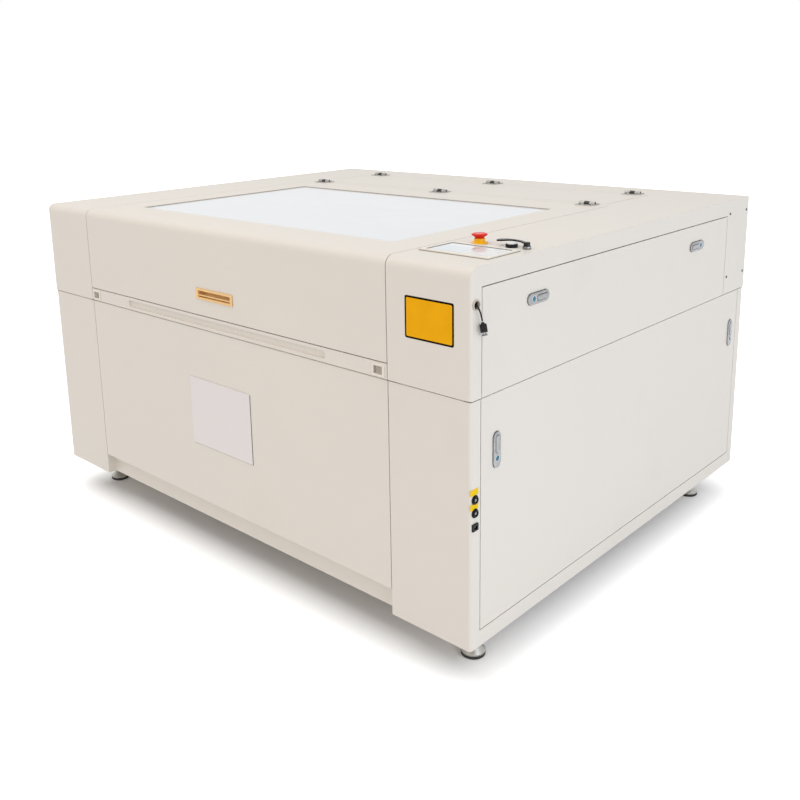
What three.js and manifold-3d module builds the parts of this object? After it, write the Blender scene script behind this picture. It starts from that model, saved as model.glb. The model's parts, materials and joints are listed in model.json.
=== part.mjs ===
// A large-format laser engraving cabinet, in millimetres, +Z up, front towards -Y.
// The origin is on the floor, under the middle of the cabinet.
import * as THREE from 'three';
import { mergeVertices } from 'three/addons/utils/BufferGeometryUtils.js';
import Module from 'manifold-3d';

const wasm = await Module();
wasm.setup();

// Whole cabinet
const housingWidth = 1840;
const housingDepth = 1500;
const footHeight = 108;
const baseHeight = 622;
const seamGap = 3;
const upperHeight = 303;
const baseInset = 2;
const sheet = 2.5;
const cornerRadius = 8;
const frontRollRadius = 26;
const columnWidth = 250;
const panelGap = 2.5;
const columnReturnDepth = 60;

// Clearances
const seatGap = 0.3;
const runningGap = 0.3;
const overrun = 20;
const weldTolerance = 0.001;

// Lower cabinet
const kickSetback = 28;
const doorBottomRise = 70;
const kickLap = 22;
const partitionInset = 230;
const deckRise = 419;
const deckSetback = 46;
const ledgeWidth = 220;
const doorLeafDepth = 20;
const partitionHoleRadius = 45;
const partitionHoleSetback = 450;
const partitionHoleRise = 200;
const exhaustRadius = 75;
const exhaustX = -300;
const exhaustDrop = 100;
const exhaustCollarLength = 40;

// Side doors on the right
const sideDoorFrontInset = 40;
const sideDoorReturn = 26;
const lowerDoorRearInset = 47;
const lowerDoorRise = 44;
const upperDoorRearInset = 170;
const upperDoorTopDrop = 49;
const doorPinRadius = 4;
const doorPinInset = 6;
const doorPinReach = 8;

// Feet
const footInsetX = 94;
const footInsetY = 134;
const footRadius = 31.5;
const footRimHeight = 17;
const footNeckRadius = 14;
const footNeckHeight = 34;
const footStemRadius = 9;
const footNutRadius = 17;
const footNutHeight = 14;

// Lid
const lidRearSetback = 482;
const skirtBottomRise = 42;
const lidFlange = 30;
const windowSideMargin = 110;
const windowFrontSetback = 150;
const windowRearMargin = 143;
const windowLap = 15;
const windowThickness = 5;

// Lid pull
const pullWidth = 168;
const pullHeight = 33;
const pullX = 4;
const pullRise = 65;
const pullProud = 3;
const pullRim = 7;
const pullWall = 3;
const pullDepth = 18;

// Hinges on the lid and on the rear cover
const hingeHalfWidth = 28;
const hingeLeafDepth = 24;
const hingeLeafThickness = 3;
const hingeKnuckleRadius = 5.5;
const hingePinRadius = 3;
const hingeAxisRise = 6;
const hingeAxisSetback = 2;
const hingeCentreHalf = 9;
const lidHingeInset = 72;
const coverHingeInset = 55;

// Rear cover over the tube bay
const coverSideInset = 30;
const coverFrontSetback = 440;
const coverRearSetback = 164;
const coverFlange = 20;

// Wall between the work chamber and the tube bay
const bulkheadSetback = 455;
const beamHoleRadius = 20;

// Gas struts of the lid
const strutInset = 15;
const strutRadius = 9;
const strutRodRadius = 5;
const strutEyeRadius = 10;
const strutStudRadius = 4;
const strutBaseInset = 32;
const strutBaseDrop = 136;
const strutSpan = 236;
const strutLidDrop = 24;
const strutStroke = 130;
const strutGuide = 34;
const strutEndCap = 12;
const strutBracketThickness = 6;
const strutBracketHalf = 22;

// Pass-through flap under the lid's skirt
const flapDepth = 14;
const flapPinInset = 3;
const flapPinRadius = 2;
const channelLength = 907;
const channelHeight = 21;
const channelDepth = 6;
const channelX = 2;

// Slide latches of the flap
const flapLatchInset = 30;
const latchPocketWidth = 28;
const latchPocketHeight = 20;
const latchPocketDepth = 7;
const latchThumbWidth = 19;
const latchThumbProud = 1;
const latchBoltRadius = 2.5;

// Front door
const frontDoorDepth = 24;

// Paddle latches of the side doors
const paddleLength = 90;
const paddleWidth = 28;
const paddleProud = 4;
const paddleBodyDepth = 6;
const paddleGap = 0.8;
const paddlePocketDepth = 13;
const paddleCupWall = 3;
const paddleButtonRadius = 6.5;
const paddleButtonOffset = 21;
const paddleButtonProud = 1;
const upperLatchFrontInset = 258;
const upperLatchRearInset = 387;
const upperLatchDrop = 111;
const lowerLatchFrontInset = 99;
const lowerLatchRearInset = 94;
const lowerLatchDrop = 139;

// Control panel
const controlSideInset = 132;
const controlSetback = 163;
const controlWidth = 203;
const controlDepth = 126;
const controlRim = 10;
const controlProud = 4;
const controlRecess = 2.5;
const controlBodyDepth = 24;

// Emergency stop, push button and selector
const estopSideInset = 173;
const estopSetback = 259;
const estopDiscRadius = 21;
const estopDiscHeight = 3;
const estopCollarRadius = 13.6;
const estopCollarHeight = 12.5;
const estopBoreDepth = 6;
const estopNeckRadius = 12;
const estopNeckLap = 1.2;
const estopUnderGap = 4.5;
const estopHeadRadius = 20;
const estopHeadHeight = 7.7;
const barrelRadius = 11;
const barrelDepth = 26;
const stemRadius = 7;
const startSideInset = 79;
const startSetback = 261;
const startRingRadius = 14.8;
const startRingHeight = 8.2;
const startCapRadius = 11.8;
const startCapProud = 4;
const startTravel = 2;
const selectorSideInset = 35.5;
const selectorSetback = 261;
const selectorHubRadius = 8;
const selectorHubHeight = 16.5;
const selectorSkirtRadius = 9.2;
const selectorSkirtHeight = 7;
const selectorReach = 88;
const selectorLeverDrop = 1.8;
const selectorLeverThickness = 4;
const selectorShaftRadius = 6;

// Data lead beside the control panel
const grommetSetback = 17;
const grommetDrop = 84;
const grommetRadius = 13;
const grommetNeckRadius = 9.7;
const grommetBoreRadius = 8.2;
const grommetProud = 3;
const grommetDepth = 7;
const grommetWeb = 3;
const leadRadius = 1.8;
const leadSides = 8;
const leadSteps = 9;
const leadOut = 12;
const leadAlong = 7;
const leadDrop = 35;
const plugWidth = 16;
const plugThickness = 8;
const plugShoulder = 9;
const plugLength = 27;
const plugNoseWidth = 12;
const plugNoseThickness = 4.5;
const plugNoseLength = 8;
const plugTurn = 0.75;

// Sockets on the lower right post
const socketSetback = 17;
const socketHalf = 7;
const socketRadius = 9;
const socketBoreRadius = 5.6;
const socketBoreDepth = 10;
const socketProud = 4;
const socketPlateThickness = 7;
const roundSocketRises = [386, 353];
const squareSocketRise = 318;
const squareSocketWidth = 20;
const squareSocketHeight = 17;
const squareBoreWidth = 12;
const squareBoreHeight = 9;
const squareBoreDepth = 9;
const socketPlateMargin = 8;

// Lift table
const tableSideGap = 20;
const tableFrontSetback = 60;
const tableRearGap = 45;
const tableTopRise = 5;
const tableHeight = 40;
const tableRim = 30;
const tableRimDepth = 30;
const slatThickness = 4;
const slatDepth = 24;
const slatDrop = 1;
const slatPitch = 52;
const lugSize = 36;
const lugThickness = 12;
const lugDrop = 23;
const screwInset = 2;
const screwFrontSetback = 190;
const screwRearGap = 175;
const screwRadius = 8;
const screwCollarRadius = 14;
const screwCollarHeight = 11;
const screwCollarSides = 6;
const screwTopDrop = 6;

// Motion system
const railInset = 175;
const railWidth = 40;
const railHeight = 79;
const railFrontSetback = 60;
const railRearGap = 13;
const railSlotWidth = 8;
const railSlotDepth = 9;
const carriageLength = 66;
const carriageWidth = 60;
const carriageHeight = 8;
const beamRearGap = 80;
const beamSection = 58;
const beamOverhang = 8;
const mirrorLevelDrop = 136;
const mirrorBlock = 34;
const motorSize = 57;
const motorLength = 52;
const headSideInset = 70;
const headWidth = 76;
const headDepth = 34;
const headHeight = 74;
const headSaddle = 7;
const mirrorHousing = 30;
const lensTubeRadius = 13;
const nozzleRadius = 4;
const nozzleLength = 22;
const focusGap = 14;
const shaftRearGap = 33;
const shaftRise = 57;
const shaftRadius = 6;
const shaftMotorX = 300;
const shaftMotorLength = 76;

// Laser tube
const tubeRadius = 40;
const tubeWall = 3;
const tubeNeckRadius = 14;
const tubeNeckBore = 11;
const tubeNeckLength = 34;
const tubeShoulder = 16;
const tubeOffset = 15;
const tubeLength = 1450;
const tubeSetback = 300;
const cradleInset = 325;
const cradleWidth = 32;
const cradleHalfDepth = 46;

// Electronics in the right-hand bay
const supplyWidth = 160;
const supplyDepth = 300;
const supplyHeight = 150;
const supplyInset = 130;
const supplySetback = 250;
const supplyFin = 6;
const supplyFins = 7;
const controllerThickness = 32;
const controllerDepth = 190;
const controllerHeight = 130;
const controllerSetback = 270;
const controllerRise = 290;

// Facets
const roundSides = 24;
const footSides = 20;
const tubeSides = 20;
const smallSides = 12;
const cornerSteps = 3;
const rollSteps = 6;

// Levels and faces that the pieces share
const baseBottom = footHeight;
const baseTop = baseBottom + baseHeight;
const upperBottom = baseTop + seamGap;
const topLevel = upperBottom + upperHeight;
const frontFace = -housingDepth / 2;
const rearFace = housingDepth / 2;
const rightFace = housingWidth / 2;
const baseFront = frontFace + baseInset;
const baseRear = rearFace - baseInset;
const baseRight = rightFace - baseInset;
const openingHalf = rightFace - columnWidth;
const leafHalf = openingHalf - panelGap;
const partitionX = rightFace - partitionInset;
const ledgeInnerX = rightFace - ledgeWidth;
const partitionHoleY = rearFace - partitionHoleSetback;
const bulkheadY = rearFace - bulkheadSetback;
const lidRearY = rearFace - lidRearSetback;
const windowHalfWidth = openingHalf - windowSideMargin;
const windowFrontY = frontFace + windowFrontSetback;
const windowRearY = lidRearY - windowRearMargin;
const coverHalfWidth = openingHalf - coverSideInset;
const coverFrontY = rearFace - coverFrontSetback;
const coverRearY = rearFace - coverRearSetback;
const hingeAxisZ = topLevel + hingeAxisRise;
const lidHingeX = openingHalf - lidHingeInset;
const lidHingeY = lidRearY + hingeAxisSetback;
const coverHingeX = coverHalfWidth - coverHingeInset;
const coverHingeY = coverRearY + hingeAxisSetback;
const skirtBottom = upperBottom + skirtBottomRise;
const flangeTop = upperBottom + sheet;
const railBottom = flangeTop + seatGap;
const railTop = railBottom + railHeight;
const beamBottom = railTop + seatGap + carriageHeight;
const beamTop = beamBottom + beamSection;
const mirrorLevel = topLevel - mirrorLevelDrop;
const tableTop = baseTop + tableTopRise;
const tableBottom = tableTop - tableHeight;
const deckTop = baseBottom + deckRise + sheet;
const shaftZ = railBottom + shaftRise;
const strutX = openingHalf - strutInset;
const strutBaseY = lidRearY - strutBaseInset;
const strutBaseZ = topLevel - strutBaseDrop;
const strutLidY = strutBaseY - strutSpan;
const strutLidZ = topLevel - strutLidDrop;
const flapLatchX = openingHalf - flapLatchInset;
const controlX = rightFace - controlSideInset;
const controlY = frontFace + controlSetback;
const estopX = rightFace - estopSideInset;
const estopY = frontFace + estopSetback;
const startX = rightFace - startSideInset;
const startY = frontFace + startSetback;
const selectorX = rightFace - selectorSideInset;
const selectorY = frontFace + selectorSetback;
const grommetY = frontFace + grommetSetback;
const socketY = frontFace + socketSetback;
const tableHalfWidth = openingHalf - tableSideGap;
const tableFrontY = frontFace + tableFrontSetback;
const tableRearY = bulkheadY - tableRearGap;
const screwX = openingHalf - screwInset;
const screwFrontY = frontFace + screwFrontSetback;
const screwRearY = bulkheadY - screwRearGap;
const railX = rightFace - railInset;
const railFrontY = frontFace + railFrontSetback;
const railRearY = bulkheadY - railRearGap;
const beamY = bulkheadY - beamRearGap;
const headX = openingHalf - headSideInset;
const shaftY = bulkheadY - shaftRearGap;
const tubeLeftX = tubeOffset - tubeLength / 2;
const tubeY = rearFace - tubeSetback;
const cradleX = tubeLength / 2 - cradleInset;
const supplyX = rightFace - supplyInset;
const supplyY = rearFace - supplySetback;
const controllerY = rearFace - controllerSetback;

// Solids from three.js shapes
function toSolid(geometry) {
  geometry.deleteAttribute('normal');
  geometry.deleteAttribute('uv');
  const merged = mergeVertices(geometry, weldTolerance);
  return new wasm.Manifold(new wasm.Mesh({
    numProp: 3,
    vertProperties: new Float32Array(merged.attributes.position.array),
    triVerts: new Uint32Array(merged.index.array),
  }));
}

function slab(x0, x1, y0, y1, z0, z1) {
  const geometry = new THREE.BoxGeometry(x1 - x0, y1 - y0, z1 - z0);
  geometry.translate((x0 + x1) / 2, (y0 + y1) / 2, (z0 + z1) / 2);
  return toSolid(geometry);
}

const bases = {
  x: [new THREE.Vector3(0, 1, 0), new THREE.Vector3(0, 0, 1), new THREE.Vector3(1, 0, 0)],
  y: [new THREE.Vector3(0, 0, 1), new THREE.Vector3(1, 0, 0), new THREE.Vector3(0, 1, 0)],
  z: [new THREE.Vector3(1, 0, 0), new THREE.Vector3(0, 1, 0), new THREE.Vector3(0, 0, 1)],
};

// The outline is drawn in the two directions that follow the axis: YZ, ZX or XY.
function prism(shape, axis, from, to, steps = cornerSteps) {
  const geometry = new THREE.ExtrudeGeometry(shape, {
    depth: to - from, bevelEnabled: false, curveSegments: steps,
  });
  geometry.translate(0, 0, from);
  geometry.applyMatrix4(new THREE.Matrix4().makeBasis(...bases[axis]));
  return toSolid(geometry);
}

function polygon(points) {
  return new THREE.Shape(points.map(([u, v]) => new THREE.Vector2(u, v)));
}

function roundedBox(u0, u1, v0, v1, radius) {
  const shape = new THREE.Shape();
  shape.moveTo(u0 + radius, v0);
  shape.lineTo(u1 - radius, v0);
  shape.absarc(u1 - radius, v0 + radius, radius, -Math.PI / 2, 0, false);
  shape.lineTo(u1, v1 - radius);
  shape.absarc(u1 - radius, v1 - radius, radius, 0, Math.PI / 2, false);
  shape.lineTo(u0 + radius, v1);
  shape.absarc(u0 + radius, v1 - radius, radius, Math.PI / 2, Math.PI, false);
  shape.lineTo(u0, v0 + radius);
  shape.absarc(u0 + radius, v0 + radius, radius, Math.PI, 1.5 * Math.PI, false);
  return shape;
}

function stadium(centreU, centreV, length, width) {
  const shape = new THREE.Shape();
  const half = (length - width) / 2;
  const radius = width / 2;
  shape.moveTo(centreU - half, centreV - radius);
  shape.lineTo(centreU + half, centreV - radius);
  shape.absarc(centreU + half, centreV, radius, -Math.PI / 2, Math.PI / 2, false);
  shape.lineTo(centreU - half, centreV + radius);
  shape.absarc(centreU - half, centreV, radius, Math.PI / 2, 1.5 * Math.PI, false);
  return shape;
}

// A round bar along an axis; u and v follow the same order as a prism's outline.
function bar(axis, radius, from, to, u, v, sides = smallSides) {
  const geometry = new THREE.CylinderGeometry(radius, radius, to - from, sides);
  geometry.rotateX(Math.PI / 2);
  geometry.translate(u, v, (from + to) / 2);
  geometry.applyMatrix4(new THREE.Matrix4().makeBasis(...bases[axis]));
  return toSolid(geometry);
}

// A turned piece: profile points are [radius, height], closed on the axis or on themselves.
function turned(profile, sides = roundSides) {
  const points = profile.map(([r, h]) => new THREE.Vector2(r, h));
  points.push(points[0].clone());
  const geometry = new THREE.LatheGeometry(points, sides);
  geometry.rotateX(Math.PI / 2);
  const solid = toSolid(geometry);
  return solid.volume() < 0 ? flipped(geometry) : solid;
}

function flipped(geometry) {
  const index = geometry.index.array;
  for (let i = 0; i < index.length; i += 3) {
    [index[i], index[i + 1]] = [index[i + 1], index[i]];
  }
  return toSolid(geometry);
}

function join(...solids) {
  return wasm.Manifold.union(solids);
}

function cut(solid, ...tools) {
  return tools.reduce((left, tool) => left.subtract(tool), solid);
}

// Materials
function finish(name, color, roughness, metalness) {
  const material = new THREE.MeshStandardMaterial({ color, roughness, metalness });
  material.name = name;
  return material;
}

const creamPaint = () => finish('cream_paint', 0xe6ddd0, 0.55, 0.1);
const darkSteel = () => finish('zinc_steel', 0x8d9094, 0.4, 0.9);
const alloy = () => finish('alloy', 0xb9bcc0, 0.45, 0.9);
const chrome = () => finish('chrome', 0xd5d8dc, 0.15, 1);
const brass = () => finish('brass', 0xd9a35a, 0.35, 0.8);
const frosted = () => finish('window', 0xdfe8f0, 0.25, 0);
const clearGlass = () => finish('tube_glass', 0xd8e6ea, 0.05, 0);
const blackPlastic = () => finish('black_plastic', 0x17181a, 0.4, 0);
const greyPlastic = () => finish('grey_plastic', 0x6f6c66, 0.5, 0);
const whitePlastic = () => finish('white_plastic', 0xe9e8e2, 0.4, 0);
const redPlastic = () => finish('red_plastic', 0xd3130f, 0.35, 0);
const yellowPlastic = () => finish('yellow_plastic', 0xe9b40c, 0.4, 0);
const bluePlastic = () => finish('blue_plastic', 0x0e6f96, 0.35, 0);
const footRubber = () => finish('foot_metal', 0x9a978f, 0.5, 0.6);

const machine = new THREE.Group();

function piece(name, solid, material) {
  const mesh = solid.getMesh();
  const geometry = new THREE.BufferGeometry();
  geometry.setAttribute('position', new THREE.BufferAttribute(new Float32Array(mesh.vertProperties), 3));
  geometry.setIndex(new THREE.BufferAttribute(new Uint32Array(mesh.triVerts), 1));
  geometry.computeVertexNormals();
  const part = new THREE.Mesh(geometry, material);
  part.name = name;
  machine.add(part);
  return part;
}

// Lower cabinet: an open-topped tub with columns, kick rail, partition, deck and ledges
function lowerTub() {
  const outer = prism(
    roundedBox(-baseRight, baseRight, baseFront, baseRear, cornerRadius), 'z', baseBottom, baseTop,
  );
  const inner = prism(
    roundedBox(
      -baseRight + sheet, baseRight - sheet, baseFront + sheet, baseRear - sheet, cornerRadius - sheet,
    ),
    'z', baseBottom + sheet, baseTop + overrun,
  );
  const frontOpening = slab(
    -openingHalf, openingHalf, baseFront - overrun, baseFront + kickSetback,
    baseBottom - overrun, baseTop + overrun,
  );
  return cut(outer, inner, frontOpening);
}

function lowerDoorFront() {
  return baseFront + sideDoorFrontInset - baseInset;
}

function lowerDoorRear() {
  return rearFace - lowerDoorRearInset;
}

function lowerDoorBottom() {
  return baseBottom + lowerDoorRise;
}

function lowerInside() {
  const inRight = baseRight - sheet;
  const inRear = baseRear - sheet;
  const kickFace = baseFront + kickSetback;
  const kickRail = slab(
    -openingHalf - sheet, openingHalf + sheet, kickFace, kickFace + sheet,
    baseBottom, baseBottom + doorBottomRise + kickLap,
  );
  const partition = slab(partitionX, partitionX + sheet, kickFace, inRear, baseBottom, baseTop);
  const deck = slab(-inRight, partitionX, baseFront + deckSetback, inRear, deckTop - sheet, deckTop);
  const leftLedge = slab(-inRight, -ledgeInnerX, baseFront, inRear, baseTop - sheet, baseTop);
  const rightLedgeEdge = baseRight - doorLeafDepth - panelGap;
  const rightLedge = slab(partitionX, rightLedgeEdge, baseFront, inRear, baseTop - sheet, baseTop);
  const returns = [-1, 1].map((side) => slab(
    Math.min(side * openingHalf, side * (openingHalf + sheet)),
    Math.max(side * openingHalf, side * (openingHalf + sheet)),
    baseFront, baseFront + columnReturnDepth, baseBottom, baseTop,
  ));
  const hole = bar('x', partitionHoleRadius, partitionX - overrun, partitionX + overrun,
    partitionHoleY, baseBottom + partitionHoleRise);
  return cut(join(kickRail, partition, deck, leftLedge, rightLedge, ...returns), hole);
}

function exhaustPort() {
  const z = baseTop - exhaustDrop;
  const collar = bar(
    'y', exhaustRadius + sheet, baseRear - exhaustCollarLength, baseRear - sheet, z, exhaustX, roundSides,
  );
  const bore = bar(
    'y', exhaustRadius, baseRear - exhaustCollarLength - overrun, baseRear + overrun, z, exhaustX,
    roundSides,
  );
  return { collar, bore };
}

function buildBase() {
  const openFront = lowerDoorFront() - panelGap;
  const openRear = lowerDoorRear() + panelGap;
  const openBottom = lowerDoorBottom() - panelGap;
  const sideOpening = slab(
    baseRight - sheet - seatGap, baseRight + overrun, openFront, openRear, openBottom, baseTop + overrun,
  );
  const postFront = slab(
    baseRight - sideDoorReturn, baseRight - sheet / 2, openFront - sheet, openFront, baseBottom, baseTop,
  );
  const postRear = slab(
    baseRight - sideDoorReturn, baseRight - sheet / 2, openRear, openRear + sheet, baseBottom, baseTop,
  );
  const pinHole = bar(
    'y', doorPinRadius + runningGap, openFront - sheet - overrun, openRear + sheet + overrun,
    lowerDoorBottom() + doorPinInset, baseRight - doorPinInset,
  );
  const doorPinHoles = bar(
    'x', doorPinRadius + runningGap, -openingHalf - sheet - overrun, openingHalf + sheet + overrun,
    baseFront + doorPinInset, baseBottom + doorBottomRise + doorPinInset,
  );
  const exhaust = exhaustPort();
  const sockets = socketCutters(runningGap);
  const shell = cut(join(lowerTub(), exhaust.collar), sideOpening, exhaust.bore);
  const whole = join(shell, lowerInside(), postFront, postRear);
  piece('base_cabinet', cut(whole, pinHole, doorPinHoles, ...sockets), creamPaint());
}

// Feet: a rubber-soled disc, a cone and a threaded stem with its lock nut
function buildFeet() {
  const profile = [
    [0, 0],
    [footRadius, 0],
    [footRadius, footRimHeight],
    [footNeckRadius, footNeckHeight],
    [footStemRadius, footNeckHeight],
    [footStemRadius, footHeight - footNutHeight],
    [footNutRadius, footHeight - footNutHeight],
    [footNutRadius, footHeight - seatGap],
    [0, footHeight - seatGap],
  ];
  const places = { front_left: [-1, -1], front_right: [1, -1], rear_left: [-1, 1], rear_right: [1, 1] };
  for (const [place, [sideX, sideY]] of Object.entries(places)) {
    const foot = turned(profile, footSides);
    const moved = foot.translate([
      sideX * (rightFace - footInsetX), sideY * (rearFace - footInsetY), 0,
    ]);
    piece(`foot_${place}`, moved, footRubber());
  }
}

// The front face rolls back into the top along one radius.
function rolledProfile(inset, bottom, rear) {
  const front = frontFace + inset;
  const top = topLevel - inset;
  const radius = frontRollRadius - inset;
  const shape = new THREE.Shape();
  shape.moveTo(front, bottom);
  shape.lineTo(rear, bottom);
  shape.lineTo(rear, top);
  shape.lineTo(front + radius, top);
  shape.absarc(front + radius, top - radius, radius, Math.PI / 2, Math.PI, false);
  return shape;
}

// Upper housing: columns, top strips, side and rear walls, bulkhead, inner flanges
function upperSkin() {
  const plan = roundedBox(-rightFace, rightFace, frontFace, rearFace, cornerRadius);
  const outer = prism(rolledProfile(0, upperBottom, rearFace), 'x', -rightFace, rightFace, rollSteps)
    .intersect(prism(plan, 'z', upperBottom, topLevel));
  const inRight = rightFace - sheet;
  const inRear = rearFace - sheet;
  const innerPlan = roundedBox(-inRight, inRight, frontFace + sheet, inRear, cornerRadius - sheet);
  const inner = prism(rolledProfile(sheet, upperBottom - overrun, inRear), 'x', -inRight, inRight, rollSteps)
    .intersect(prism(innerPlan, 'z', upperBottom - overrun, topLevel));
  return { outer, inner };
}

function upperDoorFront() {
  return frontFace + sideDoorFrontInset;
}

function upperDoorRear() {
  return rearFace - upperDoorRearInset;
}

function upperFlanges() {
  const inRight = rightFace - sheet;
  const inRear = rearFace - sheet;
  const shadow = baseTop + seatGap;
  const spacerEdge = baseRight - baseInset - sheet;
  const doorClear = rightFace - doorLeafDepth - panelGap;
  return join(
    slab(
      -inRight - sheet / 2, -ledgeInnerX, frontFace + sheet / 2, inRear + sheet / 2, upperBottom, flangeTop,
    ),
    slab(-spacerEdge, -ledgeInnerX, baseFront + sheet, baseRear - sheet, shadow, flangeTop),
    slab(ledgeInnerX, doorClear, frontFace + sheet / 2, inRear + sheet / 2, upperBottom, flangeTop),
    slab(ledgeInnerX, doorClear, baseFront + sheet, baseRear - sheet, shadow, flangeTop),
    slab(-ledgeInnerX - sheet, ledgeInnerX + sheet, bulkheadY, inRear + sheet / 2, upperBottom, flangeTop),
  );
}

function strutBrackets() {
  const y0 = strutBaseY - strutBracketHalf;
  const y1 = strutBaseY + strutBracketHalf;
  const inner = openingHalf + sheet;
  return [-1, 1].map((side) => {
    const plate = slab(
      Math.min(side * inner, side * (inner + strutBracketThickness)),
      Math.max(side * inner, side * (inner + strutBracketThickness)),
      y0, y1, strutBaseZ - strutEyeRadius, topLevel - sheet / 2,
    );
    const from = side * (strutX - strutRadius);
    const to = side * (inner + strutBracketThickness / 2);
    const stud = bar('x', strutStudRadius, Math.min(from, to), Math.max(from, to), strutBaseY, strutBaseZ);
    return plate.add(stud);
  });
}

function buildUpper() {
  const { outer, inner } = upperSkin();
  const openFront = upperDoorFront() - panelGap;
  const openRear = upperDoorRear() + panelGap;
  const doorTop = topLevel - upperDoorTopDrop;
  const inRight = rightFace - sheet;
  const lidOpening = slab(
    -openingHalf, openingHalf, frontFace - overrun, lidRearY + panelGap,
    upperBottom - overrun, topLevel + overrun,
  );
  const coverOpening = slab(
    -coverHalfWidth - panelGap, coverHalfWidth + panelGap, coverFrontY - panelGap, coverRearY + panelGap,
    topLevel - sheet - overrun, topLevel + overrun,
  );
  const sideOpening = slab(
    inRight - seatGap, rightFace + overrun, openFront, openRear, upperBottom - overrun, doorTop + panelGap,
  );
  const shell = cut(outer, inner, lidOpening, coverOpening, sideOpening);
  const returns = [-1, 1].map((side) => slab(
    Math.min(side * openingHalf, side * (openingHalf + sheet)),
    Math.max(side * openingHalf, side * (openingHalf + sheet)),
    frontFace, frontFace + columnReturnDepth, upperBottom, topLevel,
  ).intersect(outer));
  const bulkhead = slab(-inRight, inRight, bulkheadY, bulkheadY + sheet, upperBottom, topLevel - sheet / 2);
  const bulkheadEdge = rightFace - doorLeafDepth - panelGap;
  const bulkheadRelief = slab(
    bulkheadEdge, rightFace + overrun, bulkheadY - sheet, bulkheadY + 2 * sheet,
    upperBottom - sheet, doorTop + panelGap,
  );
  const beamHole = bar(
    'y', beamHoleRadius, bulkheadY - overrun, bulkheadY + sheet + overrun, mirrorLevel,
    -railX - mirrorBlock,
  );
  const posts = [
    slab(
      rightFace - sideDoorReturn, rightFace - sheet / 2, openFront - sheet, openFront, upperBottom,
      doorTop + panelGap + sheet,
    ),
    slab(
      rightFace - sideDoorReturn, rightFace - sheet / 2, openRear, openRear + sheet, upperBottom,
      doorTop + panelGap + sheet,
    ),
  ];
  const whole = join(
    shell, ...returns, cut(bulkhead, bulkheadRelief, beamHole), ...posts, upperFlanges(), ...strutBrackets(),
  );
  const pinHole = bar(
    'y', doorPinRadius + runningGap, openFront - sheet - overrun, openRear + sheet + overrun,
    upperBottom + doorPinInset, rightFace - doorPinInset,
  );
  const flapPinHole = bar(
    'x', flapPinRadius + runningGap, -openingHalf - sheet - overrun, openingHalf + sheet + overrun,
    frontFace + flapPinInset, upperBottom + flapPinInset,
  );
  const holeHalfX = controlWidth / 2 - controlRim + runningGap;
  const holeHalfY = controlDepth / 2 - controlRim + runningGap;
  const controlHole = slab(
    controlX - holeHalfX, controlX + holeHalfX, controlY - holeHalfY, controlY + holeHalfY,
    topLevel - sheet - overrun, topLevel + overrun,
  );
  const switches = [
    [estopX, estopY, barrelRadius],
    [startX, startY, barrelRadius],
    [selectorX, selectorY, selectorShaftRadius],
  ];
  const buttonHoles = switches.map(([x, y, radius]) => bar(
    'z', radius + runningGap, topLevel - sheet - overrun, topLevel + overrun, x, y, roundSides,
  ));
  const grommetHole = bar(
    'x', grommetNeckRadius + runningGap, rightFace - sheet - overrun, rightFace + overrun,
    grommetY, topLevel - grommetDrop, roundSides,
  );
  piece(
    'upper_housing', cut(whole, pinHole, flapPinHole, controlHole, ...buttonHoles, grommetHole),
    creamPaint(),
  );
}

// Hinge halves: the moving half is part of the lid or cover, the fixed half carries the pin
function movingHinge(x, axisY) {
  const leaf = slab(
    x - hingeHalfWidth, x + hingeHalfWidth,
    axisY - hingeKnuckleRadius - hingeLeafDepth, axisY - hingeKnuckleRadius - runningGap,
    topLevel - sheet / 2, topLevel + hingeLeafThickness,
  );
  const halves = [-1, 1].map((side) => {
    const near = x + side * (hingeCentreHalf + runningGap);
    const far = x + side * hingeHalfWidth;
    const from = Math.min(near, far);
    const to = Math.max(near, far);
    const knuckle = bar('x', hingeKnuckleRadius, from, to, axisY, hingeAxisZ);
    const web = slab(
      from, to, axisY - hingeKnuckleRadius - sheet, axisY, topLevel + runningGap, hingeAxisZ,
    );
    return knuckle.add(web);
  });
  const bore = bar(
    'x', hingePinRadius + runningGap, x - hingeHalfWidth - overrun, x + hingeHalfWidth + overrun, axisY,
    hingeAxisZ,
  );
  return cut(join(leaf, ...halves), bore);
}

function fixedHinge(x, axisY) {
  const leaf = slab(
    x - hingeHalfWidth, x + hingeHalfWidth,
    axisY + hingeKnuckleRadius + runningGap, axisY + hingeKnuckleRadius + hingeLeafDepth,
    topLevel + seatGap, topLevel + hingeLeafThickness,
  );
  const knuckle = bar('x', hingeKnuckleRadius, x - hingeCentreHalf, x + hingeCentreHalf, axisY, hingeAxisZ);
  const web = slab(
    x - hingeCentreHalf, x + hingeCentreHalf, axisY, axisY + hingeKnuckleRadius + sheet,
    topLevel + seatGap, hingeAxisZ,
  );
  const pin = bar('x', hingePinRadius, x - hingeHalfWidth, x + hingeHalfWidth, axisY, hingeAxisZ);
  return join(leaf, knuckle, web, pin);
}

function buildHinges() {
  const columns = { left: -1, centre: 0, right: 1 };
  for (const [place, side] of Object.entries(columns)) {
    piece(`lid_hinge_${place}`, fixedHinge(side * lidHingeX, lidHingeY), darkSteel());
    piece(`cover_hinge_${place}`, fixedHinge(side * coverHingeX, coverHingeY), darkSteel());
  }
}

// Lid: one folded sheet, skirt and top, with side flanges, hinge halves and strut studs
function lidSkin() {
  const outer = prism(rolledProfile(0, skirtBottom, lidRearY), 'x', -leafHalf, leafHalf, rollSteps);
  const behindSkirt = slab(
    -leafHalf - overrun, leafHalf + overrun, frontFace + lidFlange, lidRearY + overrun,
    skirtBottom - overrun, topLevel - lidFlange,
  );
  const core = prism(
    rolledProfile(sheet, skirtBottom - overrun, lidRearY - sheet), 'x',
    -leafHalf + sheet, leafHalf - sheet, rollSteps,
  );
  return cut(outer, behindSkirt, core);
}

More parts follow.
